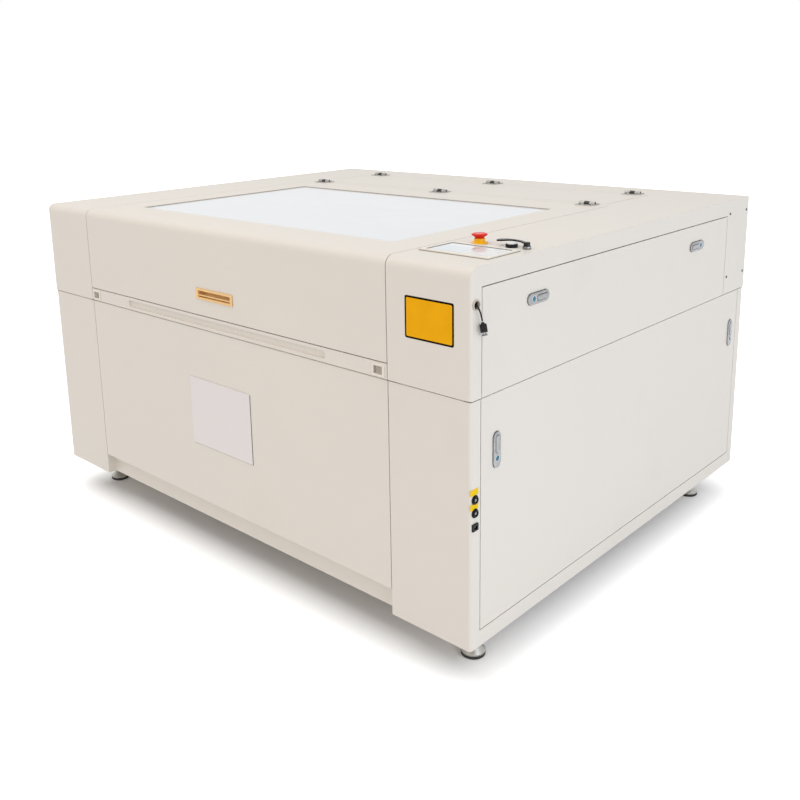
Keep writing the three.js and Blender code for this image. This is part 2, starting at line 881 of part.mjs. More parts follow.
function pullCup(clearance) {
  return slab(
    pullX - pullWidth / 2 + pullRim - clearance, pullX + pullWidth / 2 - pullRim + clearance,
    frontFace - overrun, frontFace + pullDepth,
    skirtBottom + pullRise - pullHeight / 2 + pullRim - clearance - pullWall,
    skirtBottom + pullRise + pullHeight / 2 - pullRim + clearance + pullWall,
  );
}

function buildLid() {
  const windowHole = slab(
    -windowHalfWidth, windowHalfWidth, windowFrontY, windowRearY,
    topLevel - sheet - overrun, topLevel + overrun,
  );
  const studs = [-1, 1].map((side) => {
    const from = side * (strutX + strutRodRadius + paddleGap);
    const to = side * (leafHalf - sheet / 2);
    return bar('x', strutStudRadius, Math.min(from, to), Math.max(from, to), strutLidY, strutLidZ);
  });
  const hinges = [-1, 0, 1].map((side) => movingHinge(side * lidHingeX, lidHingeY));
  const shell = cut(lidSkin(), windowHole, pullCup(runningGap));
  piece('lid_shell', join(shell, ...studs, ...hinges), creamPaint());

  piece('lid_window', slab(
    -windowHalfWidth - windowLap, windowHalfWidth + windowLap,
    windowFrontY - windowLap, windowRearY + windowLap,
    topLevel - sheet - seatGap - windowThickness, topLevel - sheet - seatGap,
  ), frosted());
}

function buildPull() {
  const midZ = skirtBottom + pullRise;
  const flange = slab(
    pullX - pullWidth / 2, pullX + pullWidth / 2, frontFace - seatGap - pullProud, frontFace - seatGap,
    midZ - pullHeight / 2, midZ + pullHeight / 2,
  );
  const cup = slab(
    pullX - pullWidth / 2 + pullRim, pullX + pullWidth / 2 - pullRim,
    frontFace - pullProud, frontFace + pullDepth,
    midZ - pullHeight / 2 + pullRim - pullWall, midZ + pullHeight / 2 - pullRim + pullWall,
  );
  const hollow = slab(
    pullX - pullWidth / 2 + pullRim + pullWall, pullX + pullWidth / 2 - pullRim - pullWall,
    frontFace - pullProud - overrun, frontFace + pullDepth - pullWall,
    midZ - pullHeight / 2 + pullRim, midZ + pullHeight / 2 - pullRim,
  );
  piece('lid_pull', cut(join(flange, cup), hollow), brass());
}

// Gas struts: the cylinder turns on the housing's stud, the rod follows the lid
function buildStruts() {
  const lean = Math.atan2(strutLidZ - strutBaseZ, strutBaseY - strutLidY);
  const reach = Math.hypot(strutLidZ - strutBaseZ, strutBaseY - strutLidY);
  const boreDepth = strutStroke + strutGuide;
  const tubeEnd = strutEndCap + strutEyeRadius + boreDepth;
  const rodStart = tubeEnd - boreDepth + runningGap;
  const sides = { left: -1, right: 1 };
  // Built along +Y from the origin, then leaned and moved to the base pivot.
  const seat = (solid, side) => solid
    .rotate([180 - THREE.MathUtils.radToDeg(lean), 0, 0])
    .translate([side * strutX, strutBaseY, strutBaseZ]);
  for (const [place, side] of Object.entries(sides)) {
    const eye = bar('x', strutEyeRadius, -strutRadius + seatGap, strutRadius - seatGap, 0, 0);
    const tube = bar('y', strutRadius - seatGap, strutEyeRadius / 2, tubeEnd, 0, 0);
    const bore = bar('y', strutRodRadius + runningGap, tubeEnd - boreDepth, tubeEnd + overrun, 0, 0);
    const studHole = bar(
      'x', strutStudRadius + runningGap, -strutRadius - overrun, strutRadius + overrun, 0, 0,
    );
    piece(`strut_cylinder_${place}`, seat(cut(join(eye, tube), bore, studHole), side), blackPlastic());

    const rod = bar('y', strutRodRadius, rodStart, reach, 0, 0);
    const rodEye = bar('x', strutEyeRadius, -strutRodRadius, strutRodRadius, reach, 0);
    piece(`strut_rod_${place}`, seat(join(rod, rodEye), side), chrome());
  }
}

// Rear cover over the tube
function buildRearCover() {
  const outer = slab(
    -coverHalfWidth, coverHalfWidth, coverFrontY, coverRearY, topLevel - coverFlange, topLevel,
  );
  const hollow = slab(
    -coverHalfWidth + sheet, coverHalfWidth - sheet, coverFrontY + sheet, coverRearY - sheet,
    topLevel - coverFlange - overrun, topLevel - sheet,
  );
  const hinges = [-1, 0, 1].map((side) => movingHinge(side * coverHingeX, coverHingeY));
  piece('rear_cover', join(cut(outer, hollow), ...hinges), creamPaint());
}

// Pass-through flap, its finger channel and its two slide latches
function flapLatchSpan(side) {
  return [side * (flapLatchX - latchPocketWidth / 2), side * (flapLatchX + latchPocketWidth / 2)]
    .sort((a, b) => a - b);
}

function buildFlap() {
  const top = skirtBottom - panelGap;
  const midZ = (upperBottom + top) / 2;
  const boltY = frontFace + latchPocketDepth - latchBoltRadius - runningGap;
  const body = slab(-leafHalf, leafHalf, frontFace, frontFace + flapDepth, upperBottom, top);
  const channel = prism(
    stadium(midZ, channelX, channelHeight, channelHeight), 'y', frontFace - overrun,
    frontFace + channelDepth,
  );
  const channelHalf = (channelLength - channelHeight) / 2;
  const channelMiddle = slab(
    channelX - channelHalf, channelX + channelHalf, frontFace - overrun, frontFace + channelDepth,
    midZ - channelHeight / 2, midZ + channelHeight / 2,
  );
  const channelEnds = [-1, 1].map((side) => channel.translate([side * channelHalf, 0, 0]));
  const pockets = [-1, 1].map((side) => slab(
    ...flapLatchSpan(side), frontFace - overrun, frontFace + latchPocketDepth,
    midZ - latchPocketHeight / 2, midZ + latchPocketHeight / 2,
  ));
  const boltHoles = [-1, 1].map((side) => {
    const from = side * flapLatchX;
    const to = side * (leafHalf + overrun);
    return bar('x', latchBoltRadius + runningGap, Math.min(from, to), Math.max(from, to), boltY, midZ);
  });
  const pins = [-1, 1].map((side) => {
    const from = side * (leafHalf - overrun);
    const to = side * (openingHalf + sheet);
    return bar(
      'x', flapPinRadius, Math.min(from, to), Math.max(from, to), frontFace + flapPinInset,
      upperBottom + flapPinInset,
    );
  });
  piece(
    'front_flap', join(cut(body, channelMiddle, ...channelEnds, ...pockets, ...boltHoles), ...pins),
    creamPaint(),
  );

  const places = { left: -1, right: 1 };
  for (const [place, side] of Object.entries(places)) {
    const edge = side * (flapLatchX + latchPocketWidth / 2 - runningGap);
    const inner = edge - side * latchThumbWidth;
    const thumb = slab(
      Math.min(edge, inner), Math.max(edge, inner),
      frontFace - latchThumbProud, frontFace + latchPocketDepth - runningGap,
      midZ - latchPocketHeight / 2 + runningGap, midZ + latchPocketHeight / 2 - runningGap,
    );
    const boltEnd = side * (openingHalf - runningGap);
    const bolt = bar('x', latchBoltRadius, Math.min(inner, boltEnd), Math.max(inner, boltEnd), boltY, midZ);
    piece(`flap_latch_${place}`, join(thumb, bolt), greyPlastic());
  }
}

// A door leaf is a pan of folded sheet, open at the back, with a pin at each end
function panX(halfLength, y0, y1, z0, z1) {
  const outer = slab(-halfLength, halfLength, y0, y1, z0, z1);
  const hollow = slab(
    -halfLength + sheet, halfLength - sheet, y0 + sheet, y1 + overrun, z0 + sheet, z1 - sheet,
  );
  return cut(outer, hollow);
}

function buildFrontDoor() {
  const bottom = baseBottom + doorBottomRise;
  const axisY = baseFront + doorPinInset;
  const leaf = panX(leafHalf, baseFront, baseFront + frontDoorDepth, bottom, baseTop);
  const blocks = [-1, 1].map((side) => {
    const from = side * (leafHalf - sheet - doorPinReach);
    const to = side * (leafHalf - sheet / 2);
    const block = slab(
      Math.min(from, to), Math.max(from, to), baseFront + sheet / 2, axisY + doorPinInset,
      bottom + sheet / 2, bottom + 2 * doorPinInset,
    );
    const pinTo = side * (leafHalf + doorPinReach);
    const pin = bar(
      'x', doorPinRadius, Math.min(from, pinTo), Math.max(from, pinTo), axisY, bottom + doorPinInset,
    );
    return block.add(pin);
  });
  piece('front_door', join(leaf, ...blocks), creamPaint());
}

// Side doors are the same pan turned to face +X, with cups for the paddle latches
function latchOutline(latch, growth) {
  return latch.upright
    ? stadiumUpright(latch.y, latch.z, paddleLength + 2 * growth, paddleWidth + 2 * growth)
    : stadium(latch.y, latch.z, paddleLength + 2 * growth, paddleWidth + 2 * growth);
}

function stadiumUpright(centreU, centreV, length, width) {
  const shape = new THREE.Shape();
  const half = (length - width) / 2;
  const radius = width / 2;
  shape.moveTo(centreU + radius, centreV - half);
  shape.lineTo(centreU + radius, centreV + half);
  shape.absarc(centreU, centreV + half, radius, 0, Math.PI, false);
  shape.lineTo(centreU - radius, centreV - half);
  shape.absarc(centreU, centreV - half, radius, Math.PI, 2 * Math.PI, false);
  return shape;
}

function buildSideDoor(name, face, front, rear, bottom, top, latches) {
  const inner = face - doorLeafDepth;
  const outer = slab(inner, face, front, rear, bottom, top);
  const hollow = slab(
    inner - overrun, face - sheet, front + sheet, rear - sheet, bottom + sheet, top - sheet,
  );
  const axisX = face - doorPinInset;
  const axisZ = bottom + doorPinInset;
  const pins = [[front, -1], [rear, 1]].map(([edge, side]) => {
    const near = edge - side * (sheet + doorPinReach);
    const block = slab(
      axisX - doorPinInset, face - sheet / 2,
      Math.min(near, edge - side * sheet / 2), Math.max(near, edge - side * sheet / 2),
      bottom + sheet / 2, axisZ + doorPinInset,
    );
    const far = edge + side * (panelGap + sheet);
    return block.add(bar('y', doorPinRadius, Math.min(near, far), Math.max(near, far), axisZ, axisX));
  });
  const cups = latches.map((latch) => prism(
    latchOutline(latch, paddleGap + paddleCupWall), 'x',
    face - paddlePocketDepth - paddleCupWall, face - sheet / 2,
  ));
  const pockets = latches.map((latch) => prism(
    latchOutline(latch, paddleGap), 'x', face - paddlePocketDepth, face + overrun,
  ));
  piece(name, cut(join(cut(outer, hollow), ...pins, ...cups), ...pockets), creamPaint());
  for (const latch of latches) {
    buildPaddle(latch, face);
  }
}

function buildPaddle(latch, face) {
  const plate = prism(latchOutline(latch, 0), 'x', face - paddleBodyDepth, face + paddleProud);
  const buttonY = latch.upright ? latch.y : latch.y + latch.lensSide * paddleButtonOffset;
  const buttonZ = latch.upright ? latch.z - paddleButtonOffset : latch.z;
  const hole = bar(
    'x', paddleButtonRadius + runningGap, face - paddleBodyDepth - overrun, face + paddleProud + overrun,
    buttonY, buttonZ,
  );
  piece(`${latch.name}_paddle`, cut(plate, hole), chrome());
  piece(`${latch.name}_button`, bar(
    'x', paddleButtonRadius, face - paddleBodyDepth, face + paddleProud + paddleButtonProud, buttonY, buttonZ,
  ), bluePlastic());
}

function buildSideDoors() {
  const upperZ = topLevel - upperLatchDrop;
  const lowerZ = baseTop - lowerLatchDrop;
  buildSideDoor('upper_side_door', rightFace, upperDoorFront(), upperDoorRear(), upperBottom,
    topLevel - upperDoorTopDrop, [
      { name: 'upper_front_latch', y: frontFace + upperLatchFrontInset, z: upperZ, lensSide: -1 },
      { name: 'upper_rear_latch', y: rearFace - upperLatchRearInset, z: upperZ, lensSide: 1 },
    ]);
  buildSideDoor('lower_side_door', baseRight, lowerDoorFront(), lowerDoorRear(), lowerDoorBottom(), baseTop, [
    { name: 'lower_front_latch', y: frontFace + lowerLatchFrontInset, z: lowerZ, upright: true },
    { name: 'lower_rear_latch', y: rearFace - lowerLatchRearInset, z: lowerZ, upright: true },
  ]);
}

// Control panel and its three switches
const estopHeadShares = [[0.7, 0], [1, 0.48], [1, 0.68], [0.85, 1]];

function buildControls() {
  const left = controlX - controlWidth / 2;
  const right = controlX + controlWidth / 2;
  const front = controlY - controlDepth / 2;
  const rear = controlY + controlDepth / 2;
  const rest = topLevel + seatGap;
  const frame = slab(left, right, front, rear, rest, rest + controlProud);
  const body = slab(left + controlRim, right - controlRim, front + controlRim, rear - controlRim,
    topLevel - controlBodyDepth, rest + controlProud / 2);
  const recess = slab(left + controlRim, right - controlRim, front + controlRim, rear - controlRim,
    rest + controlProud - controlRecess, rest + controlProud + overrun);
  piece('control_panel', cut(join(frame, body), recess), alloy());

  const stemBore = stemRadius + runningGap;
  const collarBore = estopNeckRadius + runningGap;
  const collarTop = rest + estopCollarHeight;
  const collar = turned([
    [stemBore, rest - barrelDepth],
    [barrelRadius, rest - barrelDepth],
    [barrelRadius, rest],
    [estopDiscRadius, rest],
    [estopDiscRadius, rest + estopDiscHeight],
    [estopCollarRadius, rest + estopDiscHeight],
    [estopCollarRadius, collarTop],
    [collarBore, collarTop],
    [collarBore, collarTop - estopBoreDepth],
    [stemBore, collarTop - estopBoreDepth],
  ]);
  piece('estop_collar', collar.translate([estopX, estopY, 0]), yellowPlastic());

  const headBottom = collarTop + estopUnderGap;
  const head = turned([
    [0, rest - barrelDepth],
    [stemRadius, rest - barrelDepth],
    [stemRadius, collarTop - estopNeckLap],
    [estopNeckRadius, collarTop - estopNeckLap],
    [estopNeckRadius, headBottom],
    ...estopHeadShares.map(([out, up]) => [out * estopHeadRadius, headBottom + up * estopHeadHeight]),
    [0, headBottom + estopHeadHeight],
  ]);
  piece('estop_button', head.translate([estopX, estopY, 0]), redPlastic());

  const ringBore = startCapRadius + runningGap;
  const ring = turned([
    [stemBore, rest - barrelDepth],
    [barrelRadius, rest - barrelDepth],
    [barrelRadius, rest],
    [startRingRadius, rest],
    [startRingRadius, rest + startRingHeight],
    [ringBore, rest + startRingHeight],
    [ringBore, rest + startTravel],
    [stemBore, rest + startTravel],
  ]);
  piece('start_ring', ring.translate([startX, startY, 0]), blackPlastic());

  const cap = turned([
    [0, rest - barrelDepth],
    [stemRadius, rest - barrelDepth],
    [stemRadius, rest + 2 * startTravel + seatGap],
    [startCapRadius, rest + 2 * startTravel + seatGap],
    [startCapRadius, rest + startRingHeight + startCapProud],
    [0, rest + startRingHeight + startCapProud],
  ]);
  piece('start_cap', cap.translate([startX, startY, 0]), whitePlastic());
}

// The lever's outline in shares of its reach, from the hub out to the hooked tip and back
const selectorShares = [
  [0, -0.045],
  [-0.182, 0.068],
  [-0.352, 0.176],
  [-0.591, 0.216],
  [-0.705, 0.193],
  [-0.818, 0.045],
  [-0.955, -0.08],
  [-1, 0.045],
  [-0.977, 0.182],
  [-0.841, 0.284],
  [-0.602, 0.307],
  [-0.33, 0.256],
  [-0.136, 0.148],
  [0, 0.068],
];

function buildSelector() {
  const rest = topLevel + seatGap;
  const top = rest + selectorHubHeight;
  const hub = turned([
    [0, topLevel - barrelDepth],
    [selectorShaftRadius, topLevel - barrelDepth],
    [selectorShaftRadius, rest],
    [selectorSkirtRadius, rest],
    [selectorSkirtRadius, rest + selectorSkirtHeight],
    [selectorHubRadius, rest + selectorSkirtHeight],
    [selectorHubRadius, top],
    [0, top],
  ]);
  const leverTop = top - selectorLeverDrop;
  const outline = polygon(selectorShares.map(([u, v]) => [u * selectorReach, v * selectorReach]));
  const lever = prism(outline, 'z', leverTop - selectorLeverThickness, leverTop);
  piece('selector_lever', hub.add(lever).translate([selectorX, selectorY, 0]), blackPlastic());
}

// Data lead: grommet in the front post, a short hanging cord and its plug
const leadRouteShares = [
  [0, 0, 0],
  [0.096, 0, 0],
  [0.27, 0, -0.014],
  [0.42, 0.01, -0.053],
  [0.61, 0.06, -0.154],
  [0.764, 0.17, -0.297],
  [0.879, 0.37, -0.486],
  [0.955, 0.66, -0.729],
  [1, 1, -1],
];

function buildLead() {
  const z = topLevel - grommetDrop;
  const outerFace = rightFace + seatGap;
  const webFace = rightFace - grommetDepth + grommetWeb;
  const grommet = turned([
    [0, rightFace - grommetDepth],
    [grommetNeckRadius, rightFace - grommetDepth],
    [grommetNeckRadius, outerFace],
    [grommetRadius, outerFace],
    [grommetRadius, outerFace + grommetProud * 0.7],
    [grommetRadius * 0.9, outerFace + grommetProud],
    [grommetBoreRadius, outerFace + grommetProud],
    [grommetBoreRadius, webFace],
    [0, webFace],
  ]);
  piece('lead_grommet', grommet.rotate([0, 90, 0]).translate([0, grommetY, z]), blackPlastic());

  const start = new THREE.Vector3(webFace + seatGap, grommetY, z);
  const reach = rightFace + leadOut - start.x;
  const points = leadRouteShares.map(([out, along, down]) => new THREE.Vector3(
    start.x + out * reach, start.y + along * leadAlong, start.z + down * leadDrop,
  ));
  const path = new THREE.CatmullRomCurve3(points);
  const section = new THREE.Shape();
  for (let i = 0; i < leadSides; i += 1) {
    const angle = (2 * Math.PI * i) / leadSides;
    section[i ? 'lineTo' : 'moveTo'](leadRadius * Math.cos(angle), leadRadius * Math.sin(angle));
  }
  const tube = new THREE.ExtrudeGeometry(
    section, { steps: leadSteps, bevelEnabled: false, extrudePath: path },
  );
  piece('lead_cord', toSolid(tube), blackPlastic());

  const end = points[points.length - 1];
  const heading = path.getTangent(1);
  const tilt = Math.atan2(heading.y, -heading.z);
  const half = plugWidth / 2;
  const outline = polygon([
    [-leadRadius * 1.6, -seatGap],
    [-half, -plugShoulder],
    [-half, -plugLength],
    [half, -plugLength],
    [half, -plugShoulder],
    [leadRadius * 1.6, -seatGap],
  ]);
  const body = prism(outline, 'z', -plugThickness / 2, plugThickness / 2);
  const nose = slab(
    -plugNoseWidth / 2, plugNoseWidth / 2, -plugLength - plugNoseLength, -plugLength + plugShoulder / 2,
    -plugNoseThickness / 2, plugNoseThickness / 2,
  );
  const plug = body.add(nose)
    .rotate([90, 0, THREE.MathUtils.radToDeg(plugTurn)])
    .rotate([THREE.MathUtils.radToDeg(tilt), 0, 0])
    .translate([end.x, end.y, end.z]);
  piece('lead_plug', plug, blackPlastic());
}

// Two round sockets and a square one, on one plate behind the lower post
function socketCutters(growth) {
  const reach = baseRight + overrun;
  const back = baseRight - sheet - overrun / 2;
  const rounds = roundSocketRises.map((rise) => bar(
    'x', socketRadius + growth, back, reach, socketY, baseBottom + rise, roundSides,
  ));
  const z = baseBottom + squareSocketRise;
  const square = slab(
    back, reach, socketY - squareSocketWidth / 2 - growth, socketY + squareSocketWidth / 2 + growth,
    z - squareSocketHeight / 2 - growth, z + squareSocketHeight / 2 + growth,
  );
  return [...rounds, square];
}

function buildSockets() {
  const plateFace = baseRight - sheet - seatGap;
  const lowest = baseBottom + squareSocketRise - squareSocketHeight / 2 - socketPlateMargin;
  const highest = baseBottom + Math.max(...roundSocketRises) + socketRadius + socketPlateMargin;
  const face = baseRight + socketProud;
  const plate = slab(
    plateFace - socketPlateThickness, plateFace, socketY - socketHalf, socketY + socketHalf, lowest,
    highest,
  );
  const beyond = slab(face, face + 2 * overrun, frontFace, 0, lowest, highest);
  const inside = slab(
    baseRight - sheet - overrun, plateFace - socketPlateThickness + seatGap, frontFace, 0, lowest, highest,
  );
  const bodies = socketCutters(0).map((body) => cut(body, beyond, inside));
  const roundBores = roundSocketRises.map((rise) => bar(
    'x', socketBoreRadius, face - socketBoreDepth, face + overrun, socketY, baseBottom + rise,
  ));
  const z = baseBottom + squareSocketRise;
  const squareBore = slab(
    face - squareBoreDepth, face + overrun, socketY - squareBoreWidth / 2, socketY + squareBoreWidth / 2,
    z - squareBoreHeight / 2, z + squareBoreHeight / 2,
  );
  piece('service_sockets', cut(join(plate, ...bodies), ...roundBores, squareBore), blackPlastic());
}

// Lift table with knife slats, carried on four lead screws
function screwPlaces() {
  const places = [];
  for (const [place, [side, y]] of Object.entries({
    front_left: [-1, screwFrontY], front_right: [1, screwFrontY],
    rear_left: [-1, screwRearY], rear_right: [1, screwRearY],
  })) {
    places.push({ place, side, x: side * screwX, y });
  }
  return places;
}

function buildTable() {
  const outer = slab(
    -tableHalfWidth, tableHalfWidth, tableFrontY, tableRearY, tableTop - tableRimDepth, tableTop,
  );
  const well = slab(
    -tableHalfWidth + tableRim, tableHalfWidth - tableRim, tableFrontY + tableRim, tableRearY - tableRim,
    tableBottom - overrun, tableTop + overrun,
  );
  const slats = [];
  const count = Math.floor((2 * (tableHalfWidth - tableRim)) / slatPitch);
  for (let i = 0; i <= count; i += 1) {
    const x = (i - count / 2) * slatPitch;
    slats.push(slab(
      x - slatThickness / 2, x + slatThickness / 2, tableFrontY + tableRim / 2, tableRearY - tableRim / 2,
      tableTop - slatDrop - slatDepth, tableTop - slatDrop,
    ));
  }
  const lugTop = tableTop - lugDrop;
  const lugs = screwPlaces().map(({ side, x, y }) => {
    const lug = slab(
      Math.min(x + side * lugSize / 2, side * (tableHalfWidth - tableRim)),
      Math.max(x + side * lugSize / 2, side * (tableHalfWidth - tableRim)),
      y - lugSize / 2, y + lugSize / 2, lugTop - lugThickness, lugTop,
    );
    return lug;
  });
  const bores = screwPlaces().map(({ x, y }) => bar(
    'z', screwRadius + 2 * runningGap, tableBottom - overrun, tableTop + overrun, x, y,
  ));
  piece('work_table', cut(join(cut(outer, well), ...slats, ...lugs), ...bores), alloy());
}

function buildScrews() {
  const foot = deckTop + seatGap;
  for (const { place, x, y } of screwPlaces()) {
    const screw = bar('z', screwRadius, foot, tableTop - screwTopDrop, x, y);
    const collar = bar('z', screwCollarRadius, foot, foot + screwCollarHeight, x, y, screwCollarSides);
    piece(`lift_screw_${place}`, join(screw, collar), darkSteel());
  }
}

// Y rails with a slot along the inner side, and the bearing holes of the drive shaft
function buildRails() {
  const sides = { left: -1, right: 1 };
  for (const [place, side] of Object.entries(sides)) {
    const inner = side * (railX - railWidth / 2);
    const midZ = railBottom + railHeight / 2;
    const body = slab(
      side * railX - railWidth / 2, side * railX + railWidth / 2, railFrontY, railRearY, railBottom,
      railTop,
    );
    const slotEnd = inner + side * railSlotDepth;
    const slot = slab(
      Math.min(inner - side * overrun, slotEnd), Math.max(inner - side * overrun, slotEnd),
      railFrontY - overrun, railRearY + overrun, midZ + railSlotWidth, midZ + 2 * railSlotWidth,
    );
    const holeEnd = side * railX;
    const hole = bar('x', shaftRadius + runningGap, Math.min(inner - side * overrun, holeEnd),
      Math.max(inner - side * overrun, holeEnd), shaftY, shaftZ);
    piece(`y_rail_${place}`, cut(body, slot, hole), alloy());
  }
}

// The beam runs along the gantry to the mirror in the head
function headMirrorY() {
  return beamY - beamSection / 2 - runningGap - headDepth / 2;
}

// Gantry: box beam, its two carriages, the second mirror and the X motor
function buildGantry() {
  const half = railX + railWidth / 2 + beamOverhang;
  const beam = slab(-half, half, beamY - beamSection / 2, beamY + beamSection / 2, beamBottom, beamTop);
  const beamHollow = slab(
    -half - overrun, half + overrun, beamY - beamSection / 2 + sheet, beamY + beamSection / 2 - sheet,
    beamBottom + sheet, beamTop - sheet,
  );
  const carriages = [-1, 1].map((side) => slab(
    side * railX - carriageWidth / 2, side * railX + carriageWidth / 2,
    beamY - carriageLength / 2, beamY + carriageLength / 2, railTop + seatGap, beamBottom + sheet / 2,
  ));
  const mirrorX = -railX - mirrorBlock;
  const mirrorY = headMirrorY();
  const mirror = slab(
    mirrorX - mirrorBlock / 2, mirrorX + mirrorBlock / 2, mirrorY - mirrorBlock / 2, beamY,
    beamBottom, mirrorLevel + mirrorBlock / 2,
  );
  const pathIn = bar('y', mirrorBlock / 4, mirrorY, beamY + overrun, mirrorLevel, mirrorX);
  const pathOut = bar('x', mirrorBlock / 4, mirrorX, mirrorX + mirrorBlock, mirrorY, mirrorLevel);
  const motorX = half;
  const motor = slab(
    motorX - sheet, motorX + motorLength, beamY - motorSize / 2, beamY + motorSize / 2,
    beamBottom, beamBottom + motorSize,
  );
  piece('gantry_beam', join(
    cut(beam, beamHollow), ...carriages, cut(mirror, pathIn, pathOut), motor,
  ), alloy());
}

// Laser head: carriage saddle, mirror housing, lens tube and nozzle
function buildHead() {
  const beamFront = beamY - beamSection / 2 - runningGap;
  const midY = headMirrorY();
  const saddleBottom = beamTop + runningGap;
  const plate = slab(headX - headWidth / 2, headX + headWidth / 2, beamFront - headDepth, beamFront,
    saddleBottom + headSaddle - headHeight, saddleBottom + headSaddle);
  const saddle = slab(headX - headWidth / 2, headX + headWidth / 2, beamFront - headDepth, beamY,
    saddleBottom, saddleBottom + headSaddle);
  const housing = slab(
    headX - mirrorHousing / 2, headX + mirrorHousing / 2, midY - mirrorHousing / 2, midY + mirrorHousing / 2,
    saddleBottom, mirrorLevel + mirrorHousing / 2,
  );
  const nozzleTip = tableTop + focusGap;
  const tube = bar('z', lensTubeRadius, nozzleTip + nozzleLength, saddleBottom, headX, midY, roundSides);
  const nozzle = turned([
    [0, nozzleTip],
    [nozzleRadius, nozzleTip],
    [lensTubeRadius, nozzleTip + nozzleLength],
    [lensTubeRadius, nozzleTip + nozzleLength + lensTubeRadius],
    [0, nozzleTip + nozzleLength + lensTubeRadius],
  ]).translate([headX, midY, 0]);
  piece('laser_head', join(plate, saddle, housing, tube, nozzle), alloy());
}

// Y drive: one shaft across both rails, turned by a motor on the bulkhead
function buildDrive() {
  const reach = railX - railWidth / 4;
  piece('y_drive_shaft', bar('x', shaftRadius, -reach, reach, shaftY, shaftZ), darkSteel());

  const body = slab(
    shaftMotorX - shaftMotorLength / 2, shaftMotorX + shaftMotorLength / 2,
    shaftY - motorSize / 2, shaftY + motorSize / 2, shaftZ - motorSize / 2, shaftZ + motorSize / 2,
  );
  const foot = slab(
    shaftMotorX - shaftMotorLength / 2 - lugSize / 2, shaftMotorX + shaftMotorLength / 2 + lugSize / 2,
    shaftY, bulkheadY - seatGap, shaftZ - motorSize / 2, shaftZ - motorSize / 2 + 2 * sheet,
  );
  const bore = bar(
    'x', shaftRadius + runningGap, shaftMotorX - shaftMotorLength, shaftMotorX + shaftMotorLength, shaftY,
    shaftZ,
  );
  piece('y_motor', cut(join(body, foot), bore), blackPlastic());
}

// Glass laser tube on two cradles in the rear bay
function buildTube() {
  const x0 = tubeLeftX;
  const x1 = tubeLeftX + tubeLength;
  const shoulder = tubeNeckLength + tubeShoulder;
  const inside = tubeRadius - tubeWall;
  const profile = [
    [tubeNeckBore, x0],
    [tubeNeckRadius, x0],
    [tubeNeckRadius, x0 + tubeNeckLength],
    [tubeRadius, x0 + shoulder],
    [tubeRadius, x1 - shoulder],
    [tubeNeckRadius, x1 - tubeNeckLength],
    [tubeNeckRadius, x1],
    [tubeNeckBore, x1],
    [tubeNeckBore, x1 - tubeNeckLength - tubeWall],
    [inside, x1 - shoulder - tubeWall],
    [inside, x0 + shoulder + tubeWall],
    [tubeNeckBore, x0 + tubeNeckLength + tubeWall],
  ];
  piece(
    'laser_tube', turned(profile, tubeSides).rotate([0, 90, 0]).translate([0, tubeY, mirrorLevel]),
    clearGlass(),
  );

  const sides = { left: -1, right: 1 };
  for (const [place, side] of Object.entries(sides)) {
    const x = side * cradleX;
    const block = slab(
      x - cradleWidth / 2, x + cradleWidth / 2, tubeY - cradleHalfDepth, tubeY + cradleHalfDepth,
      flangeTop + seatGap, mirrorLevel,
    );
    const saddle = bar(
      'x', tubeRadius + runningGap, x - cradleWidth, x + cradleWidth, tubeY, mirrorLevel, tubeSides,
    );
    piece(`tube_cradle_${place}`, cut(block, saddle), blackPlastic());
  }
}

// Electronics: laser supply on the floor, motion controller on the partition
function buildElectronics() {
  const floor = baseBottom + sheet + seatGap;
  const left = supplyX - supplyWidth / 2;
  const right = supplyX + supplyWidth / 2;
  const front = supplyY - supplyDepth / 2;
  const rear = supplyY + supplyDepth / 2;
  const box = slab(left, right, front, rear, floor, floor + supplyHeight);
  const pitch = supplyDepth / (supplyFins + 1);
  const grooves = [];
  for (let i = 1; i <= supplyFins; i += 1) {
    grooves.push(slab(
      left - overrun, right + overrun, front + i * pitch - supplyFin / 2, front + i * pitch + supplyFin / 2,
      floor + supplyHeight - supplyFin, floor + supplyHeight + overrun,
    ));
  }
  piece('power_supply', cut(box, ...grooves), greyPlastic());

  const face = partitionX + sheet + seatGap;
  const z = baseBottom + controllerRise;
  piece('motion_controller', slab(
    face, face + controllerThickness, controllerY - controllerDepth / 2, controllerY + controllerDepth / 2,
    z, z + controllerHeight,
  ), blackPlastic());
}

buildBase();
buildFeet();
buildUpper();
buildLid();
buildPull();
buildHinges();
buildStruts();
buildRearCover();
buildFlap();
buildFrontDoor();
buildSideDoors();
buildControls();
buildSelector();
buildLead();
buildSockets();
buildTable();
buildScrews();
buildRails();
buildGantry();
buildHead();
buildDrive();
buildTube();
buildElectronics();

export default machine;
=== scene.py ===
# Looks for a large-format laser engraving cabinet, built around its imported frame.
# Metres, +Z up, front towards -Y, the side with the control panel towards +X.
import json
import math

import bmesh
import bpy
from mathutils import Matrix, Vector

